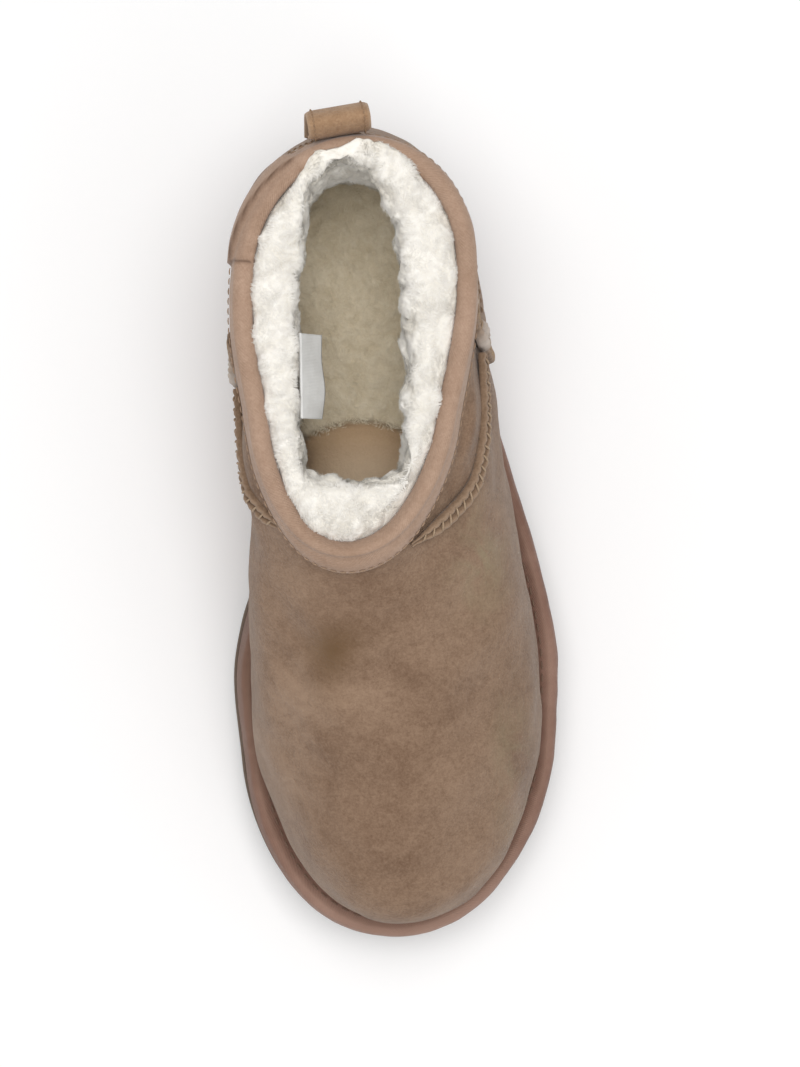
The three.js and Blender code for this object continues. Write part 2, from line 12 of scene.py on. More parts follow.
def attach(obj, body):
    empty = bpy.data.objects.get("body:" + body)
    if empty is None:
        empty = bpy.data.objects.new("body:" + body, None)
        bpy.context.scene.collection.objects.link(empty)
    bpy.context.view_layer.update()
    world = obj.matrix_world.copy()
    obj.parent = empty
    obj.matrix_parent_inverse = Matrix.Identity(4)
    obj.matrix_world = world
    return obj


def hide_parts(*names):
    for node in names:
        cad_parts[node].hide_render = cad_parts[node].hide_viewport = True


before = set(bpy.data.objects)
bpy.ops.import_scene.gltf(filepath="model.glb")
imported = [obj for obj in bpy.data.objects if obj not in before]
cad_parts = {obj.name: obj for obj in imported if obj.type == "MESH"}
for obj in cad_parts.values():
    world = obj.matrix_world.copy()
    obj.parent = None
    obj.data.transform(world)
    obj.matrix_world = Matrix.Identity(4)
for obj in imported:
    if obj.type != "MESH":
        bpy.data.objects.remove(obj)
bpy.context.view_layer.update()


# Camera. It stands over the arch side of the boot, a little over a metre up, as for a pair shot
# from above, and is rolled a few degrees, so that the heel leans to the arch side.
eye = Vector((-0.0604, 0.0098, 1.100))
looked_at = Vector((0.0015, 0.001, 0.060))
up_in_picture = Vector((0.0549, 0.9985, 0.0))
# The lens's focal length, in pixels of a picture that is picture_height pixels tall.
picture_scale = 3200.0
picture_height = 1067.0
film_height = 36.0

away = (eye - looked_at).normalized()
right_hand = up_in_picture.cross(away).normalized()
camera_data = bpy.data.cameras.new("camera")
camera_data.sensor_width = film_height
camera_data.lens = picture_scale / picture_height * film_height
camera = bpy.data.objects.new("camera", camera_data)
bpy.context.scene.collection.objects.link(camera)
turned = Matrix((right_hand, away.cross(right_hand), away)).transposed()
camera.matrix_world = Matrix.Translation(eye) @ turned.to_4x4()
bpy.context.scene.camera = camera


# Outsole. A thin moulded rubber plate, glued under the platform and a hair wider than it.
# Chevron grooves cut its underside into lugs; it is flat under heel and ball and lifts at the toe.
MM = 0.001
sole_length = 267 * MM
ball_width = 108 * MM
heel_stack = 48 * MM
fore_stack = 36 * MM
toe_spring = 8 * MM
arch_lift = 2 * MM
spring_start = 0.70
arch_start = 0.33
arch_end = 0.56
outsole_thickness = 7 * MM
outsole_lip = 0.7 * MM
lug_depth = 3 * MM
lug_inset = 3.5 * MM
groove_width = 4 * MM
groove_pitch = 12.5 * MM
groove_angle = math.radians(24)
groove_overlap = 2 * MM
gap = 0.3 * MM

# along: share of the sole from the heel end to the toe tip. outer, inner: half widths as shares
# of the ball width, on the foot's outer side and on the arch side, before the ends are rounded.
sole_outline = [
    {"along": 0.00, "outer": 0.345, "inner": 0.366},
    {"along": 0.14, "outer": 0.345, "inner": 0.366},
    {"along": 0.30, "outer": 0.356, "inner": 0.335},
    {"along": 0.42, "outer": 0.424, "inner": 0.312},
    {"along": 0.53, "outer": 0.494, "inner": 0.362},
    {"along": 0.60, "outer": 0.528, "inner": 0.424},
    {"along": 0.67, "outer": 0.542, "inner": 0.458},
    {"along": 0.78, "outer": 0.519, "inner": 0.447},
    {"along": 0.89, "outer": 0.483, "inner": 0.443},
    {"along": 1.00, "outer": 0.472, "inner": 0.462},
]
heel_round = 0.16
toe_round = 0.225


def through_rows(stops, heights, place):
    """Smooth curve through rows: between two rows the value follows the cubic that has each
    row's height there and, as its slope, that between the row's two neighbours. A row holds one
    height, or a height for each place."""
    stops, heights = np.asarray(stops, float), np.asarray(heights, float)

    def wide(column):
        return column.reshape(column.shape + (1,) * (heights.ndim - 1))

    def at(table, row):
        return table[row] if table.ndim == 1 else np.take_along_axis(table, row[None], 0)[0]

    slopes = np.gradient(heights, axis=0)
    slopes[1:-1] = (heights[2:] - heights[:-2]) / wide(stops[2:] - stops[:-2])
    slopes[[0, -1]] = np.diff(heights, axis=0)[[0, -1]] / wide(np.diff(stops)[[0, -1]])
    low = np.clip(np.searchsorted(stops, place) - 1, 0, len(stops) - 2)
    span = stops[low + 1] - stops[low]
    share = np.clip((place - stops[low]) / span, 0, 1)
    square, cube = share**2, share**3
    return (
        (2 * cube - 3 * square + 1) * at(heights, low) + (cube - 2 * square + share) * span * at(slopes, low)
        + (3 * square - 2 * cube) * at(heights, low + 1) + (cube - square) * span * at(slopes, low + 1)
    )


def column_at(rows, by, column, place):
    """The smooth curve through one column of a table, over another column."""
    return through_rows([row[by] for row in rows], [row[column] for row in rows], place)


def smoothstep(value, low, high):
    """0 below low, 1 above high, and 3s^2 - 2s^3 in between."""
    share = np.clip((value - low) / (high - low), 0, 1)
    return share * share * (3 - 2 * share)


def lerp(a, b, share):
    return a + (b - a) * share


def rounded_ends(share, round_back, round_front):
    """Quarter ellipses at both ends of a ring: the root of 1 minus the square of how far a place
    lies into the rounded stretch, and 1 between the two stretches."""
    into_back = 1 - np.minimum(share / round_back, 1)
    into_front = 1 - np.minimum((1 - share) / round_front, 1)
    return np.sqrt(np.maximum(1 - into_back**2, 0)) * np.sqrt(np.maximum(1 - into_front**2, 0))


def share_of_turn(turn):
    """A turn of 0 is the back of a ring and pi its front; 0 to pi runs along the arch side."""
    return (1 - np.cos(turn)) / 2


def turn_of_share(share):
    return np.arccos(1 - 2 * np.asarray(share, float))


def y_of(along):
    return sole_length * (0.5 - along)


def along_of(y):
    return 0.5 - y / sole_length


def underside_at(along):
    """Height of the outsole's underside: a parabola up to the toe tip and a sine-squared arch."""
    spring = np.maximum(along - spring_start, 0) / (1 - spring_start)
    arch = np.sin(np.pi * np.clip((along - arch_start) / (arch_end - arch_start), 0, 1))
    return toe_spring * spring**2 + arch_lift * arch**2


def platform_top_at(along):
    """Height of the platform's top face: a wedge that falls from heel to ball, plus toe spring."""
    spring = np.maximum(along - spring_start, 0) / (1 - spring_start)
    return lerp(heel_stack, fore_stack, smoothstep(along, 0.12, 0.72)) + toe_spring * spring**2


def outline_at(turn):
    """The sole's outline: the table's half width at a place, times the rounding of both ends."""
    share = share_of_turn(turn)
    arch = column_at(sole_outline, "along", "inner", share)
    outer = column_at(sole_outline, "along", "outer", share)
    half = ball_width * rounded_ends(share, heel_round, toe_round)
    return np.stack([np.where(np.sin(turn) > 0, -arch, outer) * half, y_of(share)], -1)


def sole_point(turn, outset):
    """The outline moved out across itself, by outset along its heading turned by a right angle."""
    step = 0.01
    heading = outline_at(turn + step) - outline_at(turn - step)
    heading /= np.linalg.norm(heading, axis=-1, keepdims=True)
    return outline_at(turn) + np.stack([heading[..., 1], -heading[..., 0]], -1) * outset


def sole_ring(turns, outset, height_at):
    """A ring on the moved outline, at a height that is a function of the place along the sole."""
    flat = sole_point(turns, outset)
    return np.concatenate([flat, height_at(along_of(flat[:, 1]))[:, None]], 1)


def boot_middle():
    """Middle of the sole, from which the boot's own frame counts; the tables count from the last."""
    rim = sole_point(np.linspace(0, 2 * np.pi, 800), outsole_lip)
    return np.append((rim.min(0) + rim.max(0)) / 2, 0)


def around(count):
    """Turns spread evenly over a ring, half a step away from the back and the front."""
    return (np.arange(count) + 0.5) * 2 * np.pi / count


def make_piece(name, points, quads, triangles=None, uv=None):
    """A mesh object from arrays, in the boot's own frame. If the volume that the faces enclose,
    a sixth of the sum of a . (b x c) over their triangles, comes out negative, every face is
    turned over."""
    points = points.reshape(-1, 3) - boot_middle()
    fans = [quads[:, [0, 1, 2]], quads[:, [0, 2, 3]]] + ([] if triangles is None else [triangles])
    a, b, c = (points[np.concatenate(fans)[:, corner]] for corner in range(3))
    turn_over = np.einsum("ij,ij->", a, np.cross(b, c)) < 0
    if turn_over:
        quads = quads[:, ::-1]
        triangles = None if triangles is None else triangles[:, ::-1]
        uv = None if uv is None else uv[:, ::-1]
    faces = quads.tolist() + ([] if triangles is None else triangles.tolist())
    mesh = bpy.data.meshes.new(name)
    mesh.from_pydata(points.tolist(), [], faces)
    mesh.polygons.foreach_set("use_smooth", np.ones(len(mesh.polygons), bool))
    if uv is not None:
        corners = np.zeros((len(mesh.loops), 2), np.float32)
        corners[: uv.size // 2] = uv.reshape(-1, 2)
        mesh.uv_layers.new(name="run").data.foreach_set("uv", corners.ravel())
    mesh.update()
    piece = bpy.data.objects.new(name, mesh)
    bpy.context.scene.collection.objects.link(piece)
    return piece


def grid_piece(name, points, rows_close=False, columns_close=True, run=None):
    """A piece from a grid of points: quads between neighbours, round to the start where a way
    closes. Rows that don't close end in strips between the points that face each other. run
    is a UV for each grid point, with one row and column more where the grid closes."""
    rows, columns = points.shape[:2]
    index = np.arange(rows * columns).reshape(rows, columns)
    index = np.concatenate([index, index[:1]]) if rows_close else index
    index = np.concatenate([index, index[:, :1]], 1) if columns_close else index
    corners = (index[:-1, :-1], index[1:, :-1], index[1:, 1:], index[:-1, 1:])
    quads = np.stack(corners, -1).reshape(-1, 4)
    uv = None
    if run is not None:
        uv = np.stack((run[:-1, :-1], run[1:, :-1], run[1:, 1:], run[:-1, 1:]), -2).reshape(-1, 4, 2)
    if columns_close and not rows_close:
        low = np.arange(columns // 2 - 1)
        strips = np.stack([low, columns - 1 - low, columns - 2 - low, low + 1], -1)
        quads = np.concatenate([quads, strips[:, ::-1], strips + (rows - 1) * columns])
    return make_piece(name, points, quads, None, uv)


class Wire:
    """A socket in a finish. Arithmetic on it adds Math nodes, so shader maths reads as Python."""

    def __init__(self, finish, socket):
        self.finish = finish
        self.socket = socket

    def __add__(self, other):
        return self.finish.calc("ADD", self, other)

    def __sub__(self, other):
        return self.finish.calc("SUBTRACT", self, other)

    def __rsub__(self, other):
        return self.finish.calc("SUBTRACT", other, self)

    def __mul__(self, other):
        return self.finish.calc("MULTIPLY", self, other)

    def __truediv__(self, other):
        return self.finish.calc("DIVIDE", self, other)

    __radd__ = __add__
    __rmul__ = __mul__

    def wave(self):
        return self.finish.calc("SINE", self) * 0.5 + 0.5

    def ramp(self, low, high):
        """0 below low, 1 above high, smooth in between."""
        settings = {"interpolation_type": "SMOOTHSTEP"}
        return self.finish.add("ShaderNodeMapRange", settings, {0: self, 1: low, 2: high})


class Finish:
    """A material: one shader with its constant values, and the nodes that feed what varies."""

    def __init__(self, name, roughness, sheen=0.0, specular=0.2):
        self.material = bpy.data.materials.new(name)
        self.material.use_nodes = True
        self.tree = self.material.node_tree
        self.shader = self.tree.nodes["Principled BSDF"]
        constants = {
            "Roughness": roughness, "Sheen Weight": sheen, "Sheen Roughness": 0.45,
            "Specular IOR Level": specular,
        }
        for socket, value in constants.items():
            self.shader.inputs[socket].default_value = value

    def add(self, kind, settings=None, inputs=None, output=0):
        """A node with its settings and inputs, which are values or wires; gives one output."""
        node = self.tree.nodes.new(kind)
        for key, value in (settings or {}).items():
            setattr(node, key, value)
        for key, value in (inputs or {}).items():
            if isinstance(value, Wire):
                self.tree.links.new(value.socket, node.inputs[key])
            else:
                node.inputs[key].default_value = value
        return Wire(self, node.outputs[output])

    def calc(self, operation, *values):
        return self.add("ShaderNodeMath", {"operation": operation}, dict(enumerate(values)))

    def place(self):
        return self.add("ShaderNodeTexCoord", output="Object")

    def run(self):
        return self.add("ShaderNodeUVMap", {"uv_map": "run"})

    def mark(self, name):
        return self.add("ShaderNodeAttribute", {"attribute_name": name}, output="Fac")

    def axes(self, vector):
        split = self.add("ShaderNodeSeparateXYZ", {}, {0: vector})
        return [Wire(self, socket) for socket in split.socket.node.outputs]

    def noise(self, size, detail=2.0, roughness=0.5, distortion=0.0):
        """Noise over the object, its largest grain about size across, in metres."""
        values = {
            "Vector": self.place(), "Scale": 1 / size, "Detail": detail,
            "Roughness": roughness, "Distortion": distortion,
        }
        return self.add("ShaderNodeTexNoise", {"noise_dimensions": "3D"}, values)

    def blend(self, share, low, high):
        """The colour low where share is 0 and high where it is 1."""
        return self.add("ShaderNodeMix", {"data_type": "RGBA"}, {0: share, 6: low, 7: high}, output=2)

    def spot(self, x, y, half_x, half_y):
        """A soft spot seen from above: e to the minus square of the distance over its half sizes."""
        axis_x, axis_y, _ = self.axes(self.place())
        dx, dy = (axis_x - x * MM) / (half_x * MM), (axis_y - y * MM) / (half_y * MM)
        return self.calc("EXPONENT", (dx * dx + dy * dy) * -1)

    def feed(self, socket, wire):
        self.tree.links.new(wire.socket, self.shader.inputs[socket])

    def relief(self, height):
        """Bump from a height in metres."""
        values = {"Strength": 1.0, "Distance": 1.0, "Height": height}
        self.feed("Normal", self.add("ShaderNodeBump", {}, values))


def paint(red, green, blue):
    """A colour as seen on a screen, 0 to 255, turned into the light values a shader works in."""
    screen = np.array([red, green, blue]) / 255
    light = np.where(screen <= 0.04045, screen / 12.92, ((screen + 0.055) / 1.055) ** 2.4)
    return (*light.tolist(), 1.0)


def outsole_rubber():
    """Matt moulded rubber, a little dusty in its pores."""
    finish = Finish("outsole_rubber", 0.78, specular=0.3)
    cloud = finish.noise(22 * MM, 3)
    pores = finish.noise(0.9 * MM, 2)
    tone = cloud * 0.7 + pores * 0.3
    finish.feed("Base Color", finish.blend(tone, paint(92, 78, 68), paint(122, 107, 94)))
    finish.feed("Roughness", 0.7 + pores * 0.2)
    finish.relief(pores * 0.12 * MM + cloud * 0.2 * MM)
    return finish.material


def make_outsole():
    """Rings of the moved outline, stacked from the tread to the top edge, less a row of bars on
    each side that are turned to a chevron, at an even pitch and not under the arch."""
    turns = around(300)
    plate = grid_piece("outsole_rubber", np.stack([
        sole_ring(turns, -lug_inset, underside_at),
        sole_ring(turns, -lug_inset + 0.3 * MM, lambda along: underside_at(along) + 0.5 * lug_depth),
        sole_ring(turns, -lug_inset + 0.6 * MM, lambda along: underside_at(along) + lug_depth),
        sole_ring(turns, outsole_lip - 0.8 * MM, lambda along: underside_at(along) + lug_depth),
        sole_ring(turns, outsole_lip, lambda along: underside_at(along) + lug_depth + 0.7 * MM),
        sole_ring(turns, outsole_lip, lambda along: underside_at(along) + outsole_thickness - 0.8 * MM),
        sole_ring(turns, outsole_lip - 0.6 * MM, lambda along: underside_at(along) + outsole_thickness),
    ]))
    count = math.floor(sole_length / groove_pitch)
    shares = np.arange(1, count) / count
    shares = shares[(shares < arch_start) | (shares > arch_end)]
    reach = ball_width * 0.75
    corner = np.array([[x, y, z] for x in (0, 1) for y in (-0.5, 0.5) for z in (-1, 1)], float)
    box_quads = np.array([[0, 1, 3, 2], [4, 6, 7, 5], [0, 4, 5, 1], [2, 3, 7, 6], [0, 2, 6, 4], [1, 5, 7, 3]])
    points, quads = [], []
    for side in (-1, 1):
        for share in shares:
            bar = corner * [side * reach, groove_width, lug_depth] - [side * groove_overlap, 0, 0]
            cosine, sine = math.cos(side * groove_angle), math.sin(side * groove_angle)
            bar = bar @ np.array([[cosine, sine, 0], [-sine, cosine, 0], [0, 0, 1]])
            quads.append((box_quads if side > 0 else box_quads[:, ::-1]) + 8 * len(points))
            points.append(bar + [side * 0.01 * MM, y_of(share), underside_at(share)])
    cutter = make_piece("grooves", np.concatenate(points), np.concatenate(quads))
    cut = plate.modifiers.new("grooves", "BOOLEAN")
    cut.object = cutter
    cut.operation = "DIFFERENCE"
    cut.solver = "EXACT"
    cut.use_self = True
    bpy.context.view_layer.update()
    shaped = bpy.data.meshes.new_from_object(plate.evaluated_get(bpy.context.evaluated_depsgraph_get()))
    plate.modifiers.clear()
    plate.data = shaped
    bpy.data.objects.remove(cutter)
    shaped.polygons.foreach_set("use_smooth", np.zeros(len(shaped.polygons), bool))
    return plate


outsole = make_outsole()
outsole.data.materials.clear()
outsole.data.materials.append(outsole_rubber())
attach(outsole, "root")
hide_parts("outsole")


# Platform. A light foam block under the whole foot, with a dusty twill-grained cover pulled
# round it and turned into the groove where the upper stands; its top edge is a soft round rim.
rim_width = 3.6 * MM
rim_height = 2 * MM
feather_inset = 7.5 * MM
platform_turns = 420
twill_pitch = 0.85 * MM
pucker_pitch = 5.2 * MM
pucker_depth = 0.07 * MM

# drop: share of the height between outsole (0) and top face (1). lift: height over that, and
# outset: how far the side stands out of the sole's outline, both in millimetres.
platform_side = [
    {"step": 0, "outset": -1.6, "drop": 0.00, "lift": 0.3},
    {"step": 1, "outset": -0.3, "drop": 0.14, "lift": 0.0},
    {"step": 2, "outset": 0.0, "drop": 0.45, "lift": 0.0},
    {"step": 3, "outset": -0.4, "drop": 0.80, "lift": 0.0},
    {"step": 4, "outset": -1.4, "drop": 1.00, "lift": 0.8},
    {"step": 5, "outset": -3.6, "drop": 1.00, "lift": 2.0},
    {"step": 6, "outset": -5.6, "drop": 1.00, "lift": 1.1},
    {"step": 7, "outset": -7.2, "drop": 1.00, "lift": 0.0},
]


def run_along(points, closes):
    """Distance travelled over a row of points, with the way back to the first one if it closes."""
    ring = np.concatenate([points, points[:1]]) if closes else points
    return np.concatenate([[0], np.cumsum(np.linalg.norm(np.diff(ring, axis=0), axis=1))])


def ripples(points, wavelength, seed, waves=16):
    """Soft random relief: the mean of sine waves in random directions, about -1.5 to 1.5."""
    rng = np.random.default_rng(seed)
    heading = rng.normal(size=(waves, 3))
    heading /= np.linalg.norm(heading, axis=1, keepdims=True)
    size = wavelength * rng.uniform(0.7, 1.4, waves)
    phase = rng.uniform(0, 2 * np.pi, waves)
    total = np.zeros(points.shape[:-1])
    for way, length, start in zip(heading, size, phase):
        total += np.sin(points @ way * (2 * np.pi / length) + start)
    return total / math.sqrt(waves / 2)


def grid_normals(points, rows_close, columns_close):
    """Normal of a grid at each point: the cross product of its slopes along columns and rows."""
    def slope(axis, closes):
        after, before = np.roll(points, -1, axis), np.roll(points, 1, axis)
        if not closes:
            first, last = [slice(None)] * 3, [slice(None)] * 3
            first[axis], last[axis] = 0, -1
            before[tuple(first)], after[tuple(last)] = points[tuple(first)], points[tuple(last)]
        return after - before
    normal = np.cross(slope(0, rows_close), slope(1, columns_close))
    return normal / np.maximum(np.linalg.norm(normal, axis=-1, keepdims=True), 1e-12)


def platform_cover():
    """Cover cloth: fine diagonal ribs of the twill, paler where it is rubbed on the rim, with painted light
    at the toe and painted shade on the arch side.
    """
    finish = Finish("platform_cover", 0.9, sheen=0.12, specular=0.12)
    across, upward, _ = finish.axes(finish.run())
    ribs = ((across + upward) * (2 * math.pi / twill_pitch)).wave()
    slubs = finish.noise(3.5 * MM, 3, 0.6)
    cloud = finish.noise(34 * MM, 4, 0.6, 0.8)
    tone = cloud * 0.75 + slubs * 0.35 + ribs * 0.12 - 0.1
    worn = finish.mark("rim")
    base = finish.blend(tone.ramp(0.2, 0.85), paint(122, 91, 78), paint(155, 123, 109))
    colour = finish.blend(worn * cloud * 0.8, base, paint(166, 137, 121))
    # Painted highlight: a pale pool of light on the cover round the toe.
    colour = finish.blend(finish.spot(5, -130, 55, 26) * 0.5, colour, paint(178, 148, 133))
    # Painted shade: a darker patch on the cover's arch side.
    colour = finish.blend(finish.spot(-50, -40, 14, 50) * 0.4, colour, paint(96, 72, 56))
    finish.feed("Base Color", colour)
    finish.feed("Roughness", 0.82 + slubs * 0.14)
    finish.relief(ribs * 0.09 * MM + slubs * 0.12 * MM + cloud * 0.25 * MM)
    return finish.material


def mark_points(piece, name, values):
    """A number for each point of a piece, which its finish reads."""
    layer = piece.data.attributes.new(name, "FLOAT", "POINT")
    layer.data.foreach_set("value", np.asarray(values, np.float32).ravel())


def platform_side_at(along, drop, lift):
    """Height on the platform's side: a share of the way from outsole to top face, plus a lift."""
    return lerp(underside_at(along) + outsole_thickness, platform_top_at(along), drop) + lift


def make_platform():
    """Rings of the outline, each moved out and set at its height by the table; less soft ripples
    of two sizes and small puckers along the rim."""
    turns = around(platform_turns)
    steps = np.linspace(0, 7, 43)
    outset, drop, lift = (
        column_at(platform_side, "step", name, steps) for name in ("outset", "drop", "lift")
    )
    grid = np.array([
        sole_ring(turns, out * MM, lambda along: platform_side_at(along, share, over * MM))
        for out, share, over in zip(outset, drop, lift)
    ])
    normal = grid_normals(grid, False, True)
    travel = run_along(grid[20], True)
    pucker = np.sin(travel[:-1] * (2 * np.pi / pucker_pitch) + 1.3 * np.sin(travel[:-1] * 37))
    near_rim = np.exp(-(((steps - 5.2) / 0.7) ** 2))[:, None]
    soft = ripples(grid, 34 * MM, 5) * 0.12 * MM + ripples(grid, 9 * MM, 6) * 0.05 * MM
    soft = soft * smoothstep(steps, 0.3, 1.5)[:, None] * smoothstep(steps, 7.0, 6.3)[:, None]
    grid = grid - normal * (soft + near_rim * pucker * pucker_depth)[..., None]
    height = run_along(grid[:, 60], False)
    run = np.stack(np.broadcast_arrays(travel[None, :], height[:, None]), -1)
    piece = grid_piece("platform_block", grid, run=run)
    mark_points(piece, "rim", np.broadcast_to(near_rim, grid.shape[:2]))
    return piece


platform = make_platform()
platform.data.materials.append(platform_cover())
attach(platform, "root")
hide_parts("platform_midsole")


# Upper. One shell of taupe suede, its nap outside, 2.2 mm thick: it stands in the platform's
# groove, swells over the toes and the arch, and narrows to the collar.
shaft_rise = 94 * MM
wall = 2.2 * MM
upper_turns = 380
upper_levels = 150

# Rings of the upper above the feather line, lowest first. rise_back, rise_front: height over the
# platform as shares of shaft_rise. back, front: ends of the ring as shares of sole_length.
# heel, waist, ball, nose: half widths at 0.15, 0.42, 0.68 and 0.88 of the ring's own length, as
# shares of ball_width. shift_back, shift_front, bias: how far the ring sits to the outer side, as
# shares of ball_width. round_back, round_front: shares of the ring that its ends round.
upper_rings = [
    {"name": "wall", "rise_back": 0.13, "rise_front": 0.17, "back": 0.017, "front": 0.971,
     "shift_back": -0.03, "shift_front": 0.01, "heel": 0.302, "waist": 0.364, "ball": 0.436, "nose": 0.405,
     "bias": 0.026, "round_back": 0.15, "round_front": 0.225},
    {"name": "toe top", "rise_back": 0.28, "rise_front": 0.36, "back": 0.015, "front": 0.952,
     "shift_back": -0.038, "shift_front": 0.005, "heel": 0.306, "waist": 0.372, "ball": 0.422, "nose": 0.362,
     "bias": 0.024, "round_back": 0.155, "round_front": 0.24},
    {"name": "vamp low", "rise_back": 0.42, "rise_front": 0.5, "back": 0.02, "front": 0.883,
     "shift_back": -0.046, "shift_front": -0.014, "heel": 0.306, "waist": 0.366, "ball": 0.39, "nose": 0.315,
     "bias": 0.014, "round_back": 0.16, "round_front": 0.27},
    {"name": "vamp mid", "rise_back": 0.57, "rise_front": 0.62, "back": 0.031, "front": 0.765,
     "shift_back": -0.061, "shift_front": -0.025, "heel": 0.325, "waist": 0.35, "ball": 0.35, "nose": 0.283,
     "bias": 0.0, "round_back": 0.175, "round_front": 0.3},
    {"name": "instep", "rise_back": 0.72, "rise_front": 0.73, "back": 0.04, "front": 0.636,
     "shift_back": -0.066, "shift_front": -0.076, "heel": 0.313, "waist": 0.336, "ball": 0.317, "nose": 0.264,
     "bias": 0.0, "round_back": 0.205, "round_front": 0.32},
    {"name": "throat", "rise_back": 0.86, "rise_front": 0.84, "back": 0.047, "front": 0.548,
     "shift_back": -0.064, "shift_front": -0.114, "heel": 0.311, "waist": 0.329, "ball": 0.286, "nose": 0.252,
     "bias": 0.004, "round_back": 0.24, "round_front": 0.32},
    {"name": "collar", "rise_back": 1.0, "rise_front": 0.95, "back": 0.053, "front": 0.512,
     "shift_back": -0.054, "shift_front": -0.13, "heel": 0.311, "waist": 0.322, "ball": 0.273, "nose": 0.246,
     "bias": 0.006, "round_back": 0.28, "round_front": 0.3},
]

# Soft folds of the suede, each along a line from one place of the upper to another. side: 1 on
# the arch side, -1 on the outer side. around and level as on the seams; width and depth in mm.
upper_folds = [
    {"side": -1, "around": (0.44, 0.80), "level": (0.800, 0.835), "width": 3.2, "depth": 1.1},
    {"side": -1, "around": (0.50, 0.72), "level": (0.735, 0.800), "width": 2.6, "depth": -0.5},
    {"side": 1, "around": (0.46, 0.78), "level": (0.790, 0.830), "width": 3.0, "depth": 0.8},
    {"side": 1, "around": (0.36, 0.56), "level": (0.560, 0.500), "width": 5.0, "depth": 0.9},
    {"side": -1, "around": (0.36, 0.54), "level": (0.560, 0.510), "width": 5.0, "depth": 0.8},
    {"side": 1, "around": (0.30, 0.42), "level": (0.470, 0.380), "width": 6.0, "depth": 0.6},
    {"side": 1, "around": (0.62, 0.99), "level": (0.600, 0.690), "width": 7.0, "depth": 0.7},
    {"side": -1, "around": (0.66, 0.99), "level": (0.590, 0.670), "width": 8.0, "depth": 0.8},
    {"side": 1, "around": (0.78, 0.97), "level": (0.430, 0.470), "width": 9.0, "depth": 0.5},
    {"side": -1, "around": (0.05, 0.22), "level": (0.900, 0.860), "width": 3.0, "depth": 0.5},
]


def ring_point(ring, turn):
    """A point of one table ring: its half width and shift at a share of its length, its ends
    rounded, at the height of the platform plus the ring's rise."""
    share = share_of_turn(turn)
    stations = [(0, "heel"), (0.15, "heel"), (0.42, "waist"), (0.68, "ball"), (0.88, "nose"), (1, "nose")]
    half = through_rows([at for at, _ in stations], [ring[name] for _, name in stations], share)
    half = half * rounded_ends(share, ring["round_back"], ring["round_front"])
    shift = lerp(ring["shift_back"], ring["shift_front"], share) + ring["bias"] * rounded_ends(share, 1, 0.5)
    along = lerp(ring["back"], ring["front"], share)
    rise = lerp(ring["rise_back"], ring["rise_front"], smoothstep(share, 0, 1)) * shaft_rise
    x = ball_width * (shift + np.where(np.sin(turn) > 0, -half, half))
    return np.stack([x, y_of(along), platform_top_at(along) + gap + rise], -1)


def upper_point(turn, level):
    """The outer face of the upper: for each turn a smooth curve up through the feather line,
    which is the sole's outline moved in, and the table's rings, evenly spaced in level."""
    turn, level = np.broadcast_arrays(np.asarray(turn, float), np.asarray(level, float))
    flat_turn, flat_level = turn.ravel(), level.ravel()
    feather = sole_ring(flat_turn, -feather_inset, lambda along: platform_top_at(along) + gap)
    rings = np.stack([feather] + [ring_point(ring, flat_turn) for ring in upper_rings])
    stops = np.arange(len(rings)) / (len(rings) - 1)
    axes = [through_rows(stops, rings[..., axis], flat_level) for axis in range(3)]
    return np.stack(axes, -1).reshape(turn.shape + (3,))


def upper_slopes(turn, level):
    """Slopes of the outer face with turn and with level, and its outward normal."""
    step = 0.004
    low, high = np.maximum(level - step, 0), np.minimum(level + step, 1)
    with_turn = (upper_point(turn + step, level) - upper_point(turn - step, level)) / (2 * step)
    with_level = (upper_point(turn, high) - upper_point(turn, low)) / (high - low)[..., None]
    normal = np.cross(with_turn, with_level)
    return with_turn, with_level, normal / np.linalg.norm(normal, axis=-1, keepdims=True)


def skin(turn, level, offset):
    """A point over (positive) or under (negative) the upper's smooth outer face."""
    turn, level, offset = np.broadcast_arrays(*(np.asarray(value, float) for value in (turn, level, offset)))
    return upper_point(turn, level) + upper_slopes(turn, level)[2] * offset[..., None]


def level_below_collar(turn, length):
    """The level that lies a length below the collar edge."""
    probe = 0.9
    reach = np.linalg.norm(upper_point(turn, 1.0) - upper_point(turn, probe), axis=-1)
    return 1 - length * (1 - probe) / reach


def fold_relief(points):
    """Depth of the soft folds: across its line a fold is a bell-shaped trough with a lower
    ridge beside it, and it fades out towards both ends of the line."""
    total = np.zeros(points.shape[:-1])
    for fold in upper_folds:
        steps = np.linspace(0, 1, 25)
        turns = fold["side"] * turn_of_share(lerp(*fold["around"], steps))
        line = upper_point(turns, lerp(*fold["level"], steps))
        line = line + ripples(line, 24 * MM, 11)[:, None] * 0.8 * MM
        nearest = np.full(total.shape, 1e9)
        at = np.zeros(total.shape)
        for step, point in zip(steps, line):
            distance = np.linalg.norm(points - point, axis=-1)
            closer = distance < nearest
            nearest = np.where(closer, distance, nearest)
            at = np.where(closer, step, at)
        width = fold["width"] * MM
        fade = np.sin(np.pi * np.clip(at, 0.02, 0.98)) ** 0.7
        bell = np.exp(-((nearest / width) ** 2)) - 0.35 * np.exp(-(((nearest - 1.9 * width) / width) ** 2))
        total -= fold["depth"] * MM * bell * fade
    return total


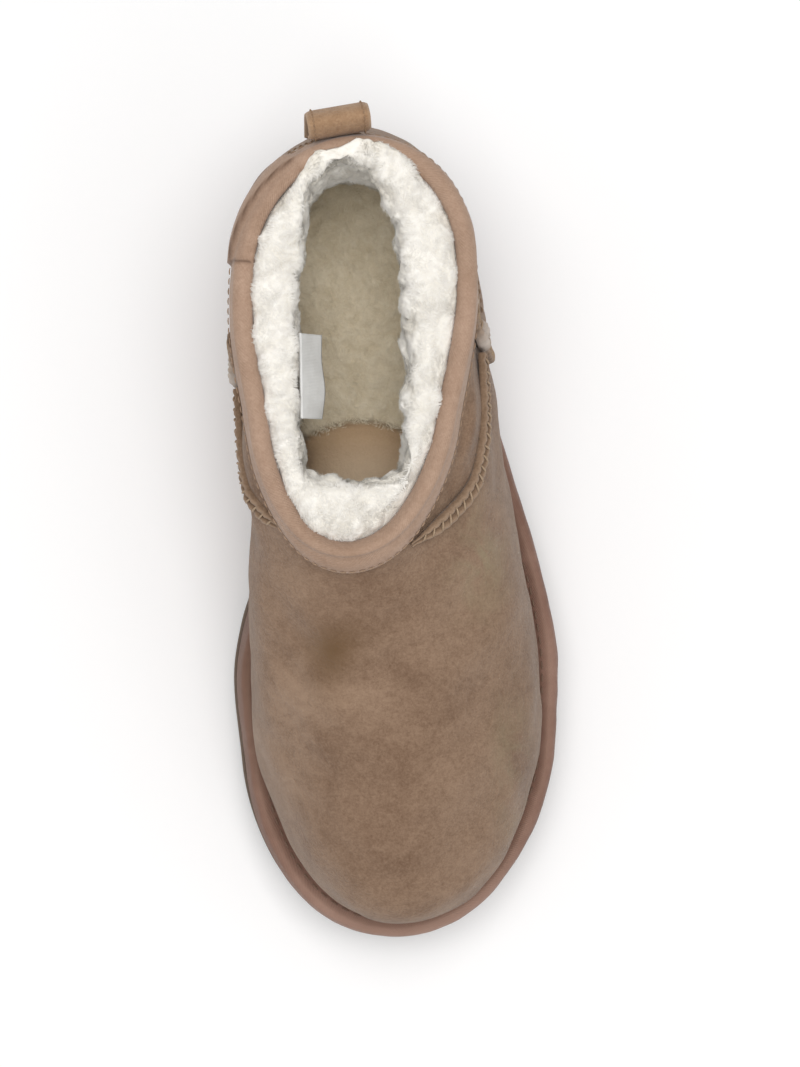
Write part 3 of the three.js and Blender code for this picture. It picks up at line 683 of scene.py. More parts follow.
def suede(name, deep, light):
    """Short-napped suede: brushed patches a few centimetres long, a finer mottle and a nap whose
    grain is under a millimetre. Gives the finish and its colour, for marks to be laid over."""
    finish = Finish(name, 0.95, sheen=0.2, specular=0.06)
    brushed = finish.noise(42 * MM, 3, 0.55, 1.1)
    mottle = finish.noise(8 * MM, 5, 0.65, 0.4)
    nap = finish.noise(0.75 * MM, 3, 0.75)
    fleck = finish.noise(2.0 * MM, 3, 0.7)
    tone = brushed * 0.55 + mottle * 0.34 + nap * 0.55 + fleck * 0.36 - 0.4
    colour = finish.blend(tone.ramp(0.1, 0.9), deep, light)
    finish.relief(nap * 0.34 * MM + mottle * 0.3 * MM + fleck * 0.24 * MM)
    return finish, colour


def upper_suede():
    """The upper's suede, with a tan stain on the vamp, a grey brushed patch on its outer side,
    painted light on its arch side, and the raw edge where it turns into the platform's groove,
    pale, and made paler as painted light against the shade in the groove."""
    finish, colour = suede("upper_suede", paint(108, 83, 65), paint(160, 134, 112))
    patchy = finish.noise(15 * MM, 4, 0.65, 0.8)
    stain = finish.spot(-26, -37, 7, 9) + finish.spot(-21, -30, 10, 6) * 0.5
    colour = finish.blend(stain * patchy * 1.3, colour, paint(98, 72, 44))
    brushed = (finish.spot(33, -74, 6, 20) + finish.spot(24, -8, 9, 16)) * patchy.ramp(0.35, 0.65)
    colour = finish.blend(brushed * 0.6, colour, paint(146, 134, 108))
    # Painted light: a paler patch on the upper's arch side, where it is lit more.
    arch_side_light = finish.spot(-36, -62, 12, 42) * patchy.ramp(0.3, 0.7)
    colour = finish.blend(arch_side_light * 0.5, colour, paint(170, 144, 122))
    # Raw edge: pale cut suede, made paler and wider as painted light against the shade in the groove.
    raw = finish.mark("raw_edge") * (patchy * 0.7 + 0.4)
    finish.feed("Base Color", finish.blend(raw, colour, paint(206, 180, 150)))
    return finish.material


def make_upper():
    """The outer face by turn and level, moved along its normal by soft ripples and the folds and
    turned in at its foot; then the inner face, a wall's thickness under it."""
    turns = around(upper_turns)[:, None]
    outside = np.concatenate([[0, 0.006, 0.012], np.linspace(0.02, 1, upper_levels)])[None, :]
    inside = np.linspace(1, 0, 9)[None, :]
    outer = upper_point(turns, outside)
    normal = upper_slopes(turns + 0 * outside, outside + 0 * turns)[2]
    hold = smoothstep(outside, 0.0, 0.06) * smoothstep(outside, 0.995, 0.90)
    soft = ripples(outer, 42 * MM, 21) * 0.45 * MM + ripples(outer, 14 * MM, 22) * 0.14 * MM
    soft += fold_relief(outer)
    turned_in = -0.7 * MM * smoothstep(outside, 0.03, 0.0)
    outer = outer + normal * (soft * hold + turned_in)[..., None]
    grid = np.concatenate([outer, skin(turns, inside, -wall)], 1)
    piece = grid_piece("upper_shell", grid, rows_close=True)
    # The raw edge's mark, drawn wide so that painted light covers the shade in the groove.
    raw = np.zeros(grid.shape[:2])
    raw[:, : outside.size] = smoothstep(outside, 0.045, 0.02)
    mark_points(piece, "raw_edge", raw)
    return piece


upper = make_upper()
upper.data.materials.append(upper_suede())
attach(upper, "root")
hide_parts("upper")


# Insole. A sheepskin footbed that lies on the platform inside the upper, wool side up, trodden
# flat and beige under the heel. Towards the toes a bare tan pad with a rounded edge lies over it.
insole_thickness = 7 * MM
insole_inset = feather_inset + wall + 2 * gap + 0.4 * MM
pad_middle = np.array([-6.0, 5.0]) * MM
pad_radius = 33 * MM
pad_rise = 3.5 * MM
up = np.array([0.0, 0.0, 1.0])


def insole_top_at(along):
    return platform_top_at(along) + gap + insole_thickness


def wool(name, shade, light):
    """Wool: small curls with a little more colour in their depth than at their tips."""
    finish = Finish(name, 0.95, sheen=0.3, specular=0.08)
    curls = finish.noise(5 * MM, 4, 0.6, 0.8)
    fine = finish.noise(1.0 * MM, 3, 0.7)
    cloud = finish.noise(24 * MM, 3, 0.5, 0.6)
    tone = cloud * 0.35 + curls * 0.5 + fine * 0.35 - 0.1
    colour = finish.blend(tone.ramp(0.2, 0.8), shade, light)
    finish.relief(curls * 0.5 * MM + fine * 0.22 * MM)
    return finish, colour


def puffs(points, size, seed):
    """Rounded tufts with narrow creases between them: the size of a soft random wave."""
    return np.abs(ripples(points, size, seed))


def insole_wool():
    """The footbed's wool, and the bare pad, with painted shade at its edge: a dark line along it and a darker
    band inside it that pales towards the toes.
    """
    finish, colour = wool("insole_wool", paint(206, 190, 160), paint(238, 226, 202))
    grain = finish.noise(0.7 * MM, 3, 0.7)
    # Painted shade: the pad darker near its edge and paler further in.
    tone = grain * 0.3 + finish.mark("pad_shade_falloff") * 0.7
    tan = finish.blend(tone, paint(184, 152, 118), paint(240, 216, 186))
    colour = finish.blend(finish.mark("bare"), colour, tan)
    # Painted shadow: a dark line along the pad's edge.
    finish.feed("Base Color", finish.blend(finish.mark("pad_edge_shadow") * 0.75, colour, paint(98, 76, 54)))
    return finish.material


def make_insole():
    """Straight lines across the sole between its moved-in edges, with a flattened crown; small
    tufts on it, and within the pad's circle a smooth swell in their place."""
    turn = np.linspace(0.03, np.pi - 0.03, 300)
    arch, outer = sole_point(turn, -insole_inset), sole_point(2 * np.pi - turn, -insole_inset)
    top = np.linspace(0, 1, 90)
    across = np.concatenate([top, np.linspace(1, 0, 8)])
    flat = arch[:, None] + (outer - arch)[:, None] * across[None, :, None]
    crown = np.concatenate([np.clip(4 * top * (1 - top), 0, 1) ** 0.35, np.zeros(8)])[None, :]
    height = platform_top_at(along_of(flat[..., 1])) + gap + (insole_thickness - 0.6 * MM) * crown
    grid = np.concatenate([flat, height[..., None]], -1)
    inside_pad = pad_radius - np.linalg.norm(flat - pad_middle, axis=-1)
    bare = smoothstep(inside_pad, -0.4 * MM, 0.4 * MM) * (crown > 0)
    tufts = puffs(grid, 8 * MM, 31) * 0.55 * MM + puffs(grid, 3.5 * MM, 32) * 0.3 * MM - 0.4 * MM
    swell = lerp(tufts, pad_rise * smoothstep(inside_pad, -0.5 * MM, 6 * MM), bare)
    grid[..., 2] += swell * np.clip(crown * 1.6 - 0.6, 0, 1)
    piece = grid_piece("footbed", grid)
    mark_points(piece, "bare", bare)
    # Marks for the painted shadow along the pad's edge and the painted shade that fades in from it.
    mark_points(piece, "pad_edge_shadow", np.exp(-(((inside_pad + 0.2 * MM) / (0.9 * MM)) ** 2)) * (crown > 0))
    mark_points(piece, "pad_shade_falloff", smoothstep(inside_pad, 1 * MM, 22 * MM))
    return piece, grid[:, : top.size], bare[:, : top.size]


insole, insole_points, insole_bare = make_insole()
insole.data.materials.append(insole_wool())
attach(insole, "root")
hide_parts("insole")


# Fleece lining. Sheepskin with its wool inside: a deep off-white pile all over the shaft, that
# rolls out over the collar's inner edge and runs on, thinner, round the foot to the toe.
pile_gap = 0.6 * MM
pile_at_collar = 13 * MM
pile_in_foot = 8 * MM
pile_lift = 2.5 * MM
binding_thickness = 1.8 * MM
binding_crown = 1.2 * MM
binding_drop_outside = 9 * MM
binding_drop_inside = 6 * MM
lining_foot = 0.1
lining_turns = 480
pile_inset = wall + pile_gap
pile_lump = 1.3 * MM
roll_columns = 34
heel_tuft_at = np.array([1.0, 108.0, 141.0]) * MM
heel_spill = np.array([-1.0, 5.5, 2.2]) * MM

# Mouth of the wool at the collar, one more ring. Its shape fades out down the lining: it is full
# at the level mouth_full of the upper and gone at mouth_gone.
mouth_ring = {
    "name": "mouth", "rise_back": 1.0, "rise_front": 0.95, "back": 0.072, "front": 0.432,
    "shift_back": -0.074, "shift_front": -0.1, "heel": 0.122, "waist": 0.155, "ball": 0.16, "nose": 0.158,
    "bias": 0.0, "round_back": 0.14, "round_front": 0.05,
}
mouth_full = 0.9
mouth_gone = 0.6


def pile_depth(turn, level):
    """Depth of the pile: shallow in the foot, full at the collar, with slow lumps."""
    lumps = np.sin(5 * turn + 9 * level) * np.sin(3 * turn - 21 * level + 1)
    return (
        lerp(pile_in_foot, pile_at_collar, smoothstep(level, 0.35, 0.95))
        + pile_lump * lumps * smoothstep(level, 0.3, 0.8)
    )


def wool_face(turn, level):
    """The lining's wool side: the upper's face less wall and pile, drawn in to the mouth's ring
    towards the collar and held above the insole."""
    turn, level = np.broadcast_arrays(turn, level)
    mouth = ring_point(mouth_ring, turn) + up * ((level - 1) * shaft_rise)[..., None]
    face = skin(turn, level, -pile_inset - pile_depth(turn, level))
    face = lerp(face, mouth, smoothstep(level, mouth_gone, mouth_full)[..., None])
    face[..., 2] = np.maximum(face[..., 2], insole_top_at(along_of(face[..., 1])) + gap)
    return face


def on_curve(stops, knots, place):
    """Point at a place on the smooth curve through knots, each a point or a ring of points."""
    places = np.full(knots.shape[1:-1], place)
    axes = [through_rows(stops, knots[..., axis], places) for axis in range(knots.shape[-1])]
    return np.stack(axes, -1)


def lining_grid():
    """The lining's skin side, its roll over the binding's inner leg and its wool side, as loops
    of points up the outside, over the roll and down the inside; and how woolly each column is."""
    turns = around(lining_turns)[:, None]
    step_level = level_below_collar(turns[:, 0], binding_drop_inside + 2 * gap)[:, None]
    behind = wall + gap + binding_thickness + pile_gap
    outside = lerp(lining_foot, step_level, np.linspace(0, 1, 10)[None, :])
    inside = np.concatenate([np.linspace(0.97, 0.5, 60), np.linspace(0.49, lining_foot, 30)])[None, :]
    rim, mouth = skin(turns, 1.0, -behind), ring_point(mouth_ring, turns)
    crest = np.stack([
        skin(turns, step_level, -behind),
        rim + up * 0.5 * pile_lift,
        lerp(rim, mouth, 0.4) + up * 1.5 * pile_lift,
        lerp(rim, mouth, 0.85) + up * 0.9 * pile_lift,
        wool_face(turns, 0.97),
    ])[:, :, 0]
    places = np.linspace(0, len(crest) - 1, roll_columns + 2)[1:-1]
    roll = np.stack([on_curve(np.arange(len(crest)), crest, place) for place in places], 1)
    skin_side = skin(turns, outside, -pile_inset)
    grid = np.concatenate([skin_side, crest[0][:, None], roll, wool_face(turns, inside)], 1)
    woolly = np.concatenate([np.zeros(11), smoothstep(np.arange(roll_columns), 4, 12), np.ones(89), [0]])
    return grid, woolly


def make_lining():
    """The lining's loops, moved along their normals by rounded tufts of two sizes and a slow wave.
    One larger tuft stands at the heel, and the wool spills there over the binding."""
    grid, woolly = lining_grid()
    normal = grid_normals(grid, True, True)
    inner = slice(11 + roll_columns + 10, 11 + roll_columns + 30)
    outward = np.sign(((grid.mean((0, 1)) - grid[:, inner]) * normal[:, inner]).sum())
    normal = normal * outward
    tufts = puffs(grid, 13 * MM, 41) * 0.8 * MM + puffs(grid, 4.5 * MM, 42) * 0.3 * MM
    tufts += ripples(grid, 30 * MM, 43) * 0.7 * MM - 0.4 * MM
    heel_tuft = np.exp(-(((grid - heel_tuft_at) / (6 * MM)) ** 2).sum(-1)) * 3 * MM
    grid = grid + normal * ((tufts + heel_tuft) * woolly[None, :])[..., None]
    at_heel = smoothstep(grid[..., 1], 100 * MM, 114 * MM)
    at_heel = at_heel * np.exp(-(((grid[..., 0] + 11 * MM) / (20 * MM)) ** 2))
    on_roll = np.exp(-(((np.arange(grid.shape[1]) - 20) / 7) ** 2))[None, :] * woolly[None, :]
    grid = grid + (at_heel * on_roll)[..., None] * heel_spill
    return grid_piece("fleece_pile", grid, rows_close=True), grid, normal


def scatter(grid, normal, weight, count, rng):
    """Random places on a grid's surface, even by area times weight, with their normals."""
    a, b, c = grid[:-1, :-1], grid[1:, :-1], grid[:-1, 1:]
    area = np.linalg.norm(np.cross(b - a, c - a), axis=-1) * weight[:-1, :-1]
    row, column = np.unravel_index(rng.choice(area.size, count, p=(area / area.sum()).ravel()), area.shape)
    s, t = rng.random((2, count, 1))
    root = grid[row, column] * (1 - s) * (1 - t) + grid[row + 1, column] * s * (1 - t)
    root += grid[row, column + 1] * (1 - s) * t + grid[row + 1, column + 1] * s * t
    return root, normal[row, column]


def fibres(name, roots, ways, rng, length, width):
    """Wool fibres as narrow strips of two spans. Each starts just under the pile and lies almost
    flat on it, its heading a soft field that turns over a few millimetres, so that neighbours
    form locks, and tapers to a point a little over the pile."""
    count = len(roots)
    reach = length * rng.uniform(0.5, 1.4, (count, 1))
    field = np.stack([ripples(roots, 9 * MM, seed) for seed in (81, 82, 83)], -1)
    field = field + rng.normal(size=(count, 3)) * 0.4
    field -= np.einsum("ij,ij->i", field, ways)[:, None] * ways
    field /= np.linalg.norm(field, axis=1, keepdims=True)
    half = np.cross(ways, field) * width / 2
    root = roots - ways * 0.15 * MM
    middle = roots + ways * reach * 0.16 + field * reach * 0.5
    tip = roots + ways * reach * 0.2 + field * reach
    points = np.stack([root - half, root + half, middle - half * 0.8, middle + half * 0.8, tip], 1)
    start = 5 * np.arange(count)[:, None]
    return make_piece(name, points, np.array([[0, 1, 3, 2]]) + start, np.array([[2, 3, 4]]) + start)


def wool_material(name, shade, light):
    """Wool of one shade all over."""
    finish, colour = wool(name, shade, light)
    finish.feed("Base Color", colour)
    return finish.material


lining, lining_points, lining_normals = make_lining()
lining.data.materials.append(wool_material("fleece_deep", paint(226, 220, 208), paint(250, 247, 241)))
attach(lining, "root")
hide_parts("fleece_lining")

wool_rng = np.random.default_rng(71)
columns = np.arange(lining_points.shape[1])
roll_end = 11 + roll_columns
insole_normals = np.broadcast_to(up, insole_points.shape)
white_wool = wool_material("fleece_tips", paint(233, 229, 221), paint(247, 244, 239))
beige_wool = wool_material("footbed_tips", paint(214, 200, 172), paint(240, 230, 208))
every_turn = np.ones((lining_turns, 1))
fibre_width = 0.17 * MM
coats = [
    {"name": "collar_wool", "over": (lining_points, lining_normals), "count": 60000,
     "weight": every_turn * ((columns > 15) & (columns < roll_end + 14)),
     "length": 1.7 * MM, "finish": white_wool, "slot": "fleece"},
    {"name": "shaft_wool", "over": (lining_points, lining_normals), "count": 40000,
     "weight": every_turn * ((columns >= roll_end + 13) & (columns < roll_end + 66)),
     "length": 1.7 * MM, "finish": white_wool, "slot": "fleece"},
    {"name": "footbed_wool", "over": (insole_points, insole_normals), "count": 26000,
     "weight": (1 - insole_bare) * (insole_points[..., 1] > -5 * MM),
     "length": 1.4 * MM, "finish": beige_wool, "slot": "insole_fleece"},
]
for coat in coats:
    roots, ways = scatter(*coat["over"], coat["weight"], coat["count"], wool_rng)
    fleece = fibres(coat["name"], roots, ways, wool_rng, coat["length"], fibre_width)
    fleece.data.materials.append(coat["finish"])
    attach(fleece, "root")


# Collar binding. A tape of pale suede folded over the collar's edge and stitched through near
# its lower edge. Its two ends lap on the arch side, and the upper one lies there as a flap.
binding_turns = 520
binding_columns = 36
binding_wave = 0.25 * MM
binding_join = 0.277
binding_lap = 1.3 * MM
tape_rib_pitch = 1.15 * MM
tape_rib_depth = 0.1 * MM
# Column of the section where the flap's edge runs, at the back of the collar and at the join.
flap_edge_at = (22.5, 30.0)
flap_lift = 1.3 * MM


def across_profile(corners, count):
    """A closed smooth curve through a loop of corner rings, sampled evenly between them."""
    size = len(corners)
    stops = np.arange(-2, size + 3)
    wrapped = np.stack([corners[stop % size] for stop in stops])
    places = np.arange(count) * size / count
    return np.stack([on_curve(stops, wrapped, place) for place in places], 1)


def tape_suede():
    """Thin pale suede with the faint diagonal ribs of its backing showing through, with painted
    shade where the tape's cut end and the flap's edge are."""
    deep = paint(150, 122, 102)
    finish, colour = suede("collar_tape", deep, paint(186, 158, 138))
    across, upward, _ = finish.axes(finish.run())
    ribs = ((across + upward * 1.2) * (2 * math.pi / tape_rib_pitch)).wave()
    cloud = finish.noise(20 * MM, 2)
    colour = finish.blend(ribs * cloud * 0.35, colour, deep)
    # Painted shade: a dark line along the tape's cut end and the flap's edge.
    finish.feed("Base Color", finish.blend(finish.mark("lap_edge_shade") * 0.8, colour, paint(92, 70, 56)))
    nap = finish.noise(0.8 * MM, 3, 0.7)
    finish.relief(nap * 0.2 * MM + ribs * cloud.ramp(0.35, 0.65) * tape_rib_depth)
    return finish.material


def make_binding():
    """For each turn a closed smooth section through thirteen corners round the collar's edge;
    the lap raises its outer leg and the flap its top, up to the flap's edge."""
    turns = around(binding_turns)
    low = level_below_collar(turns, binding_drop_outside)
    middle = level_below_collar(turns, binding_drop_outside / 2)
    inside = level_below_collar(turns, binding_drop_inside)
    face = gap + binding_thickness
    edge_wave = binding_wave * ripples(upper_point(turns, 1.0), 16 * MM, 51)
    share = share_of_turn(turns)
    on_arch_side = np.sin(turns) > 0
    lapped = smoothstep(share, binding_join, binding_join - 0.004) * smoothstep(share, 0.035, 0.05)
    lapped = lapped * on_arch_side
    lap = lapped * binding_lap

    def over(offset, lift):
        return skin(turns, 1.0, offset) + up * np.broadcast_to(lift, turns.shape)[:, None]

    corners = [
        skin(turns, low, gap * 2),
        skin(turns, middle, gap * 2),
        over(gap, gap),
        over(-wall - gap, gap),
        skin(turns, inside, -wall - gap),
        skin(turns, inside, -wall - face),
        over(-wall - face, 0.4 * binding_thickness),
        over(-0.75 * wall - 0.5 * face, face + 0.7 * binding_crown),
        over(-wall / 2 + 0.3 * face, face + binding_crown + edge_wave * 0.3),
        over(face * 0.8, 0.8 * binding_thickness),
        skin(turns, 1.0, face + 0.7 * lap) - up * 0.5 * binding_thickness,
        skin(turns, middle, gap + face + lap + edge_wave * 0.3),
        skin(turns, low, gap + 0.9 * binding_thickness + lap),
    ]
    grid = across_profile(corners, binding_columns)
    column = np.arange(binding_columns)[None, :]
    flap_edge = lerp(*flap_edge_at, np.clip(share / binding_join, 0, 1) ** 0.8)[:, None]
    flapped = lapped[:, None] * smoothstep(column, 16, 19)
    flap = flapped * smoothstep(column, flap_edge + 0.7, flap_edge - 0.7)
    grid = grid + grid_normals(grid, True, True) * (flap * flap_lift)[..., None]
    travel = run_along(grid[:, 24], True)
    profile = run_along(grid[0], True)
    run = np.stack(np.broadcast_arrays(travel[:, None], profile[None, :]), -1)
    piece = grid_piece("collar_tape", grid, rows_close=True, run=run)
    # Where the shade along the cut end and the flap's edge is painted.
    lap_edge_shade = np.exp(-(((share - binding_join) / 0.0035) ** 2)) * on_arch_side
    lap_edge_shade = lap_edge_shade[:, None] * (column > 18) * (column < 33)
    flap_edge_shade = np.exp(-(((column - flap_edge - 0.6) / 0.7) ** 2)) * flapped
    mark_points(piece, "lap_edge_shade", np.maximum(lap_edge_shade, flap_edge_shade))
    return piece


binding = make_binding()
binding.data.materials.append(tape_suede())
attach(binding, "root")
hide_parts("collar_binding")


# Heel counter. A second layer of suede round the heel, cut with a raw edge that rises from the
# side seams to just under the collar's back, and stitched along that edge.
counter_thickness = 1.6 * MM
counter_gap = 0.5 * MM
counter_foot = 0.05
knob_half_width = 3.9 * MM
knob_level = 0.63
knob_span = 0.09

# Place of the side seams around each side of the upper, 0 at the back and 1 at the front.
side_seam_rows = [
    {"level": 0.05, "outer": 0.262, "arch": 0.290},
    {"level": 0.35, "outer": 0.300, "arch": 0.332},
    {"level": 0.62, "outer": 0.345, "arch": 0.385},
    {"level": 0.88, "outer": 0.400, "arch": 0.440},
]
# Top edge of the counter, from the back centre (0) to the side seam (1).
counter_top_rows = [
    {"across": 0.0, "level": 0.840},
    {"across": 0.3, "level": 0.815},
    {"across": 0.6, "level": 0.735},
    {"across": 0.85, "level": 0.655},
    {"across": 1.0, "level": 0.625},
]


def side_seam_turn(level, side):
    return turn_of_share(column_at(side_seam_rows, "level", side, level))


def turn_margin(turn, level, length):
    """How much turn a length along the ring takes."""
    return length / np.linalg.norm(upper_slopes(turn, level)[0], axis=-1)


def threads(name, starts, ends, normals, radius, bow):
    """Stitches: each thread is a six-sided tube from one hole to the other that bows out by a
    half sine wave and thins where it dips into the holes."""
    steps = np.linspace(0, 1, 6)
    centre = starts[:, None] + (ends - starts)[:, None] * steps[None, :, None]
    centre = centre + normals[:, None] * (np.sin(np.pi * steps) * bow)[None, :, None]
    heading = ends - starts
    heading /= np.linalg.norm(heading, axis=1, keepdims=True)
    side = np.cross(heading, normals)
    side /= np.linalg.norm(side, axis=1, keepdims=True)
    other = np.cross(side, heading)
    thick = radius * (0.55 + 0.45 * np.sin(np.pi * steps))[None, :, None, None]
    angle = (np.arange(6) * np.pi / 3)[None, None, :, None]
    ring = side[:, None, None] * np.cos(angle) + other[:, None, None] * np.sin(angle)
    points = centre[:, :, None] + ring * thick
    tube = np.arange(36).reshape(6, 6)
    wrapped = np.concatenate([tube, tube[:, :1]], 1)
    corners = (wrapped[:-1, :-1], wrapped[:-1, 1:], wrapped[1:, 1:], wrapped[1:, :-1])
    quads = np.stack(corners, -1).reshape(-1, 4)
    ends_quads = np.array([[0, 1, 4, 5], [1, 2, 3, 4]])
    quads = np.concatenate([quads, ends_quads[:, ::-1], ends_quads + 30])
    all_quads = quads[None] + 36 * np.arange(len(starts))[:, None, None]
    return make_piece(name, points, all_quads.reshape(-1, 4))


def thread_finish(name, colour, shade):
    """Waxed thread, twisted."""
    finish = Finish(name, 0.75, sheen=0.1, specular=0.25)
    twist = finish.noise(0.5 * MM, 2)
    finish.feed("Base Color", finish.blend(twist, shade, colour))
    finish.relief(twist * 0.1 * MM)
    return finish.material


def counter_suede():
    """The upper's suede a little paler, and paler still along the raw edge."""
    finish, colour = suede("counter_suede", paint(118, 93, 73), paint(158, 132, 110))
    colour = finish.blend(finish.mark("raw_edge"), colour, paint(190, 170, 150))
    finish.feed("Base Color", colour)
    return finish.material


def counter_place(across, share):
    """Turn and level of a place on the counter, across from the outer seam (-1) to the arch
    seam (1) and up from its foot (0) to its top edge (1)."""
    across, share = np.broadcast_arrays(across, share)
    top = column_at(counter_top_rows, "across", "level", np.abs(across))
    level = lerp(counter_foot, top, share)
    seam = np.where(across > 0, side_seam_turn(level, "arch"), side_seam_turn(level, "outer"))
    turn = across * (seam - turn_margin(seam, level, knob_half_width + 4 * gap))
    return turn, level


def make_counter():
    """The upper's face by turn and level, moved out by the gap and again by the layer's thickness,
    which is rounded off along the top edge and thinned at both seams."""
    across = np.linspace(-1, 1, 260)[:, None]
    share = np.concatenate([np.linspace(0, 0.97, 60), [0.985, 0.995, 1.0]])[None, :]
    turn, level = counter_place(across, share)
    inner = skin(turn, level, counter_gap)
    normal = upper_slopes(turn, level)[2]
    rounding = np.sqrt(np.clip(1 - smoothstep(share, 0.965, 1.02) ** 2 * 0.55, 0, 1))
    thick = counter_thickness * rounding * smoothstep(share, -0.02, 0.03)
    thick = thick * lerp(0.3, 1, smoothstep(1 - np.abs(across), 0, 0.07))
    soft = ripples(inner, 34 * MM, 61) * 0.3 * MM + ripples(inner, 10 * MM, 62) * 0.12 * MM
    outer = inner + normal * (thick + np.maximum(soft, -0.3 * MM) * smoothstep(share, 1.0, 0.9))[..., None]
    hidden = inner[:, ::9]
    grid = np.concatenate([hidden, outer[:, ::-1]], 1)
    piece = grid_piece("heel_counter_layer", grid)
    raw = np.zeros(grid.shape[:2])
    raw[:, hidden.shape[1]:] = smoothstep(share, 0.972, 0.992)[:, ::-1]
    mark_points(piece, "raw_edge", raw)
    return piece


counter = make_counter()
counter.data.materials.append(counter_suede())
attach(counter, "root")
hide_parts("heel_counter")

stitch_places = np.linspace(-0.97, 0.97, 74)
stitch_length = 0.0155
stitch_share = 0.955
start_turn, start_level = counter_place(stitch_places, stitch_share)
end_turn, end_level = counter_place(stitch_places + stitch_length, stitch_share)
over_counter = counter_gap + counter_thickness + 0.1 * MM
counter_stitches = threads(
    "counter_stitches", skin(start_turn, start_level, over_counter), skin(end_turn, end_level, over_counter),
    upper_slopes(start_turn, start_level)[2], 0.3 * MM, 0.25 * MM,
)
counter_stitches.data.materials.append(thread_finish("tan_thread", paint(150, 124, 98), paint(104, 80, 60)))
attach(counter_stitches, "root")


# Side and vamp seams. Two raised suede edges with a channel between them, overcast with coarse
# thread. The side seams run from the platform to the binding and swell to a pale knob
# where the vamp seam starts, which climbs forward to the front of the collar.
vamp_seam_half_width = 2.9 * MM
side_seam_half_width = 2.6 * MM
seam_height = 2.2 * MM
seam_groove = 1.1 * MM
knob_height = 3.6 * MM
seam_apart = 1.6 * MM
seam_gap = 0.4 * MM
side_seam_foot = 0.055
vamp_seam_end = {"outer": 0.925, "arch": 0.87}
cross_pitch = 3.3 * MM
# How far a thread slants, as a share of its pitch, and where it enters, of the half width.
cross_slant = 0.4
lip_place = 0.62
sign_of = {"arch": 1, "outer": -1}

# forward: 0 at the knob, 1 at the seam's front end. climb: 0 at the knob, 1 under the binding.
vamp_seam_rows = [
    {"step": 0.0, "forward": 0.00, "climb": 0.00},
    {"step": 0.2, "forward": 0.19, "climb": 0.07},
    {"step": 0.4, "forward": 0.47, "climb": 0.31},
    {"step": 0.6, "forward": 0.69, "climb": 0.59},
    {"step": 0.8, "forward": 0.88, "climb": 0.84},
    {"step": 1.0, "forward": 1.00, "climb": 1.00},
]
# Section of a seam from edge to edge: across as a share of its half width, height as a share of
# its height, channel as a share of seam_groove taken off.
seam_section = [
    {"across": -1.00, "height": 0.00, "channel": 0.0},
    {"across": -1.00, "height": 0.40, "channel": 0.0},
    {"across": -0.92, "height": 0.72, "channel": 0.0},
    {"across": -0.72, "height": 0.95, "channel": 0.0},
    {"across": -0.45, "height": 1.00, "channel": 0.0},
    {"across": -0.24, "height": 0.92, "channel": 0.1},
    {"across": -0.10, "height": 1.00, "channel": 0.9},
    {"across": 0.10, "height": 1.00, "channel": 0.9},
    {"across": 0.24, "height": 0.92, "channel": 0.1},
    {"across": 0.45, "height": 1.00, "channel": 0.0},
    {"across": 0.72, "height": 0.95, "channel": 0.0},
    {"across": 0.92, "height": 0.72, "channel": 0.0},
    {"across": 1.00, "height": 0.40, "channel": 0.0},
    {"across": 1.00, "height": 0.00, "channel": 0.0},
]


def seam_frame(turn, level):
    """Along a path on the upper: how turn and level change for a metre straight across it."""
    with_turn, with_level, normal = upper_slopes(turn, level)
    path = upper_point(turn, level)
    sideways = np.cross(normal, np.gradient(path, axis=0))
    sideways /= np.linalg.norm(sideways, axis=1, keepdims=True)

    def dot(u, v):
        return np.einsum("ij,ij->i", u, v)

    a, b, c = dot(with_turn, with_turn), dot(with_turn, with_level), dot(with_level, with_level)
    p, q = dot(sideways, with_turn), dot(sideways, with_level)
    return (p * c - q * b) / (a * c - b * b), (q * a - p * b) / (a * c - b * b)


def seam_surface(turn, level, half_width, height, across, rise, channel):
    """Points of a seam: across it by a share of its half width along the upper's face, and up
    from the face by a share of its height less the channel."""
    per_turn, per_level = seam_frame(turn, level)
    shift = half_width[:, None] * across[None, :]
    lift = seam_gap + height[:, None] * rise[None, :] - seam_groove * channel[None, :]
    return skin(turn[:, None] + shift * per_turn[:, None], level[:, None] + shift * per_level[:, None], lift)


def seam_suede(name, pale):
    """Folded suede edges, rubbed paler along their tops, with painted shade down in the channel."""
    finish, colour = suede(name, paint(108, 86, 67), paint(156, 131, 109))
    crest = finish.mark("crest")
    colour = finish.blend(crest * 0.55, colour, paint(166, 141, 119))
    # Painted shade down in the channel between the edges.
    colour = finish.blend(finish.mark("channel") * 0.45, colour, paint(100, 78, 60))
    colour = finish.blend(finish.mark("knob") * 0.8, colour, pale)
    finish.feed("Base Color", colour)
    return finish.material


def side_seam_path(side):
    """Turn, level, half width and height along a side seam, and how far it has swollen to the
    knob: a cubic step up and down again within the knob's span."""
    top = level_below_collar(sign_of[side] * side_seam_turn(1.0, side), binding_drop_outside + 6 * gap)
    level = np.linspace(side_seam_foot, top, 150)
    swell = np.maximum(1 - np.abs(level - knob_level) / knob_span, 0)
    rounded = swell * swell * (3 - 2 * swell)
    turn = sign_of[side] * side_seam_turn(level, side)
    return (turn, level, lerp(side_seam_half_width, knob_half_width, rounded),
            lerp(seam_height, knob_height, rounded), rounded)


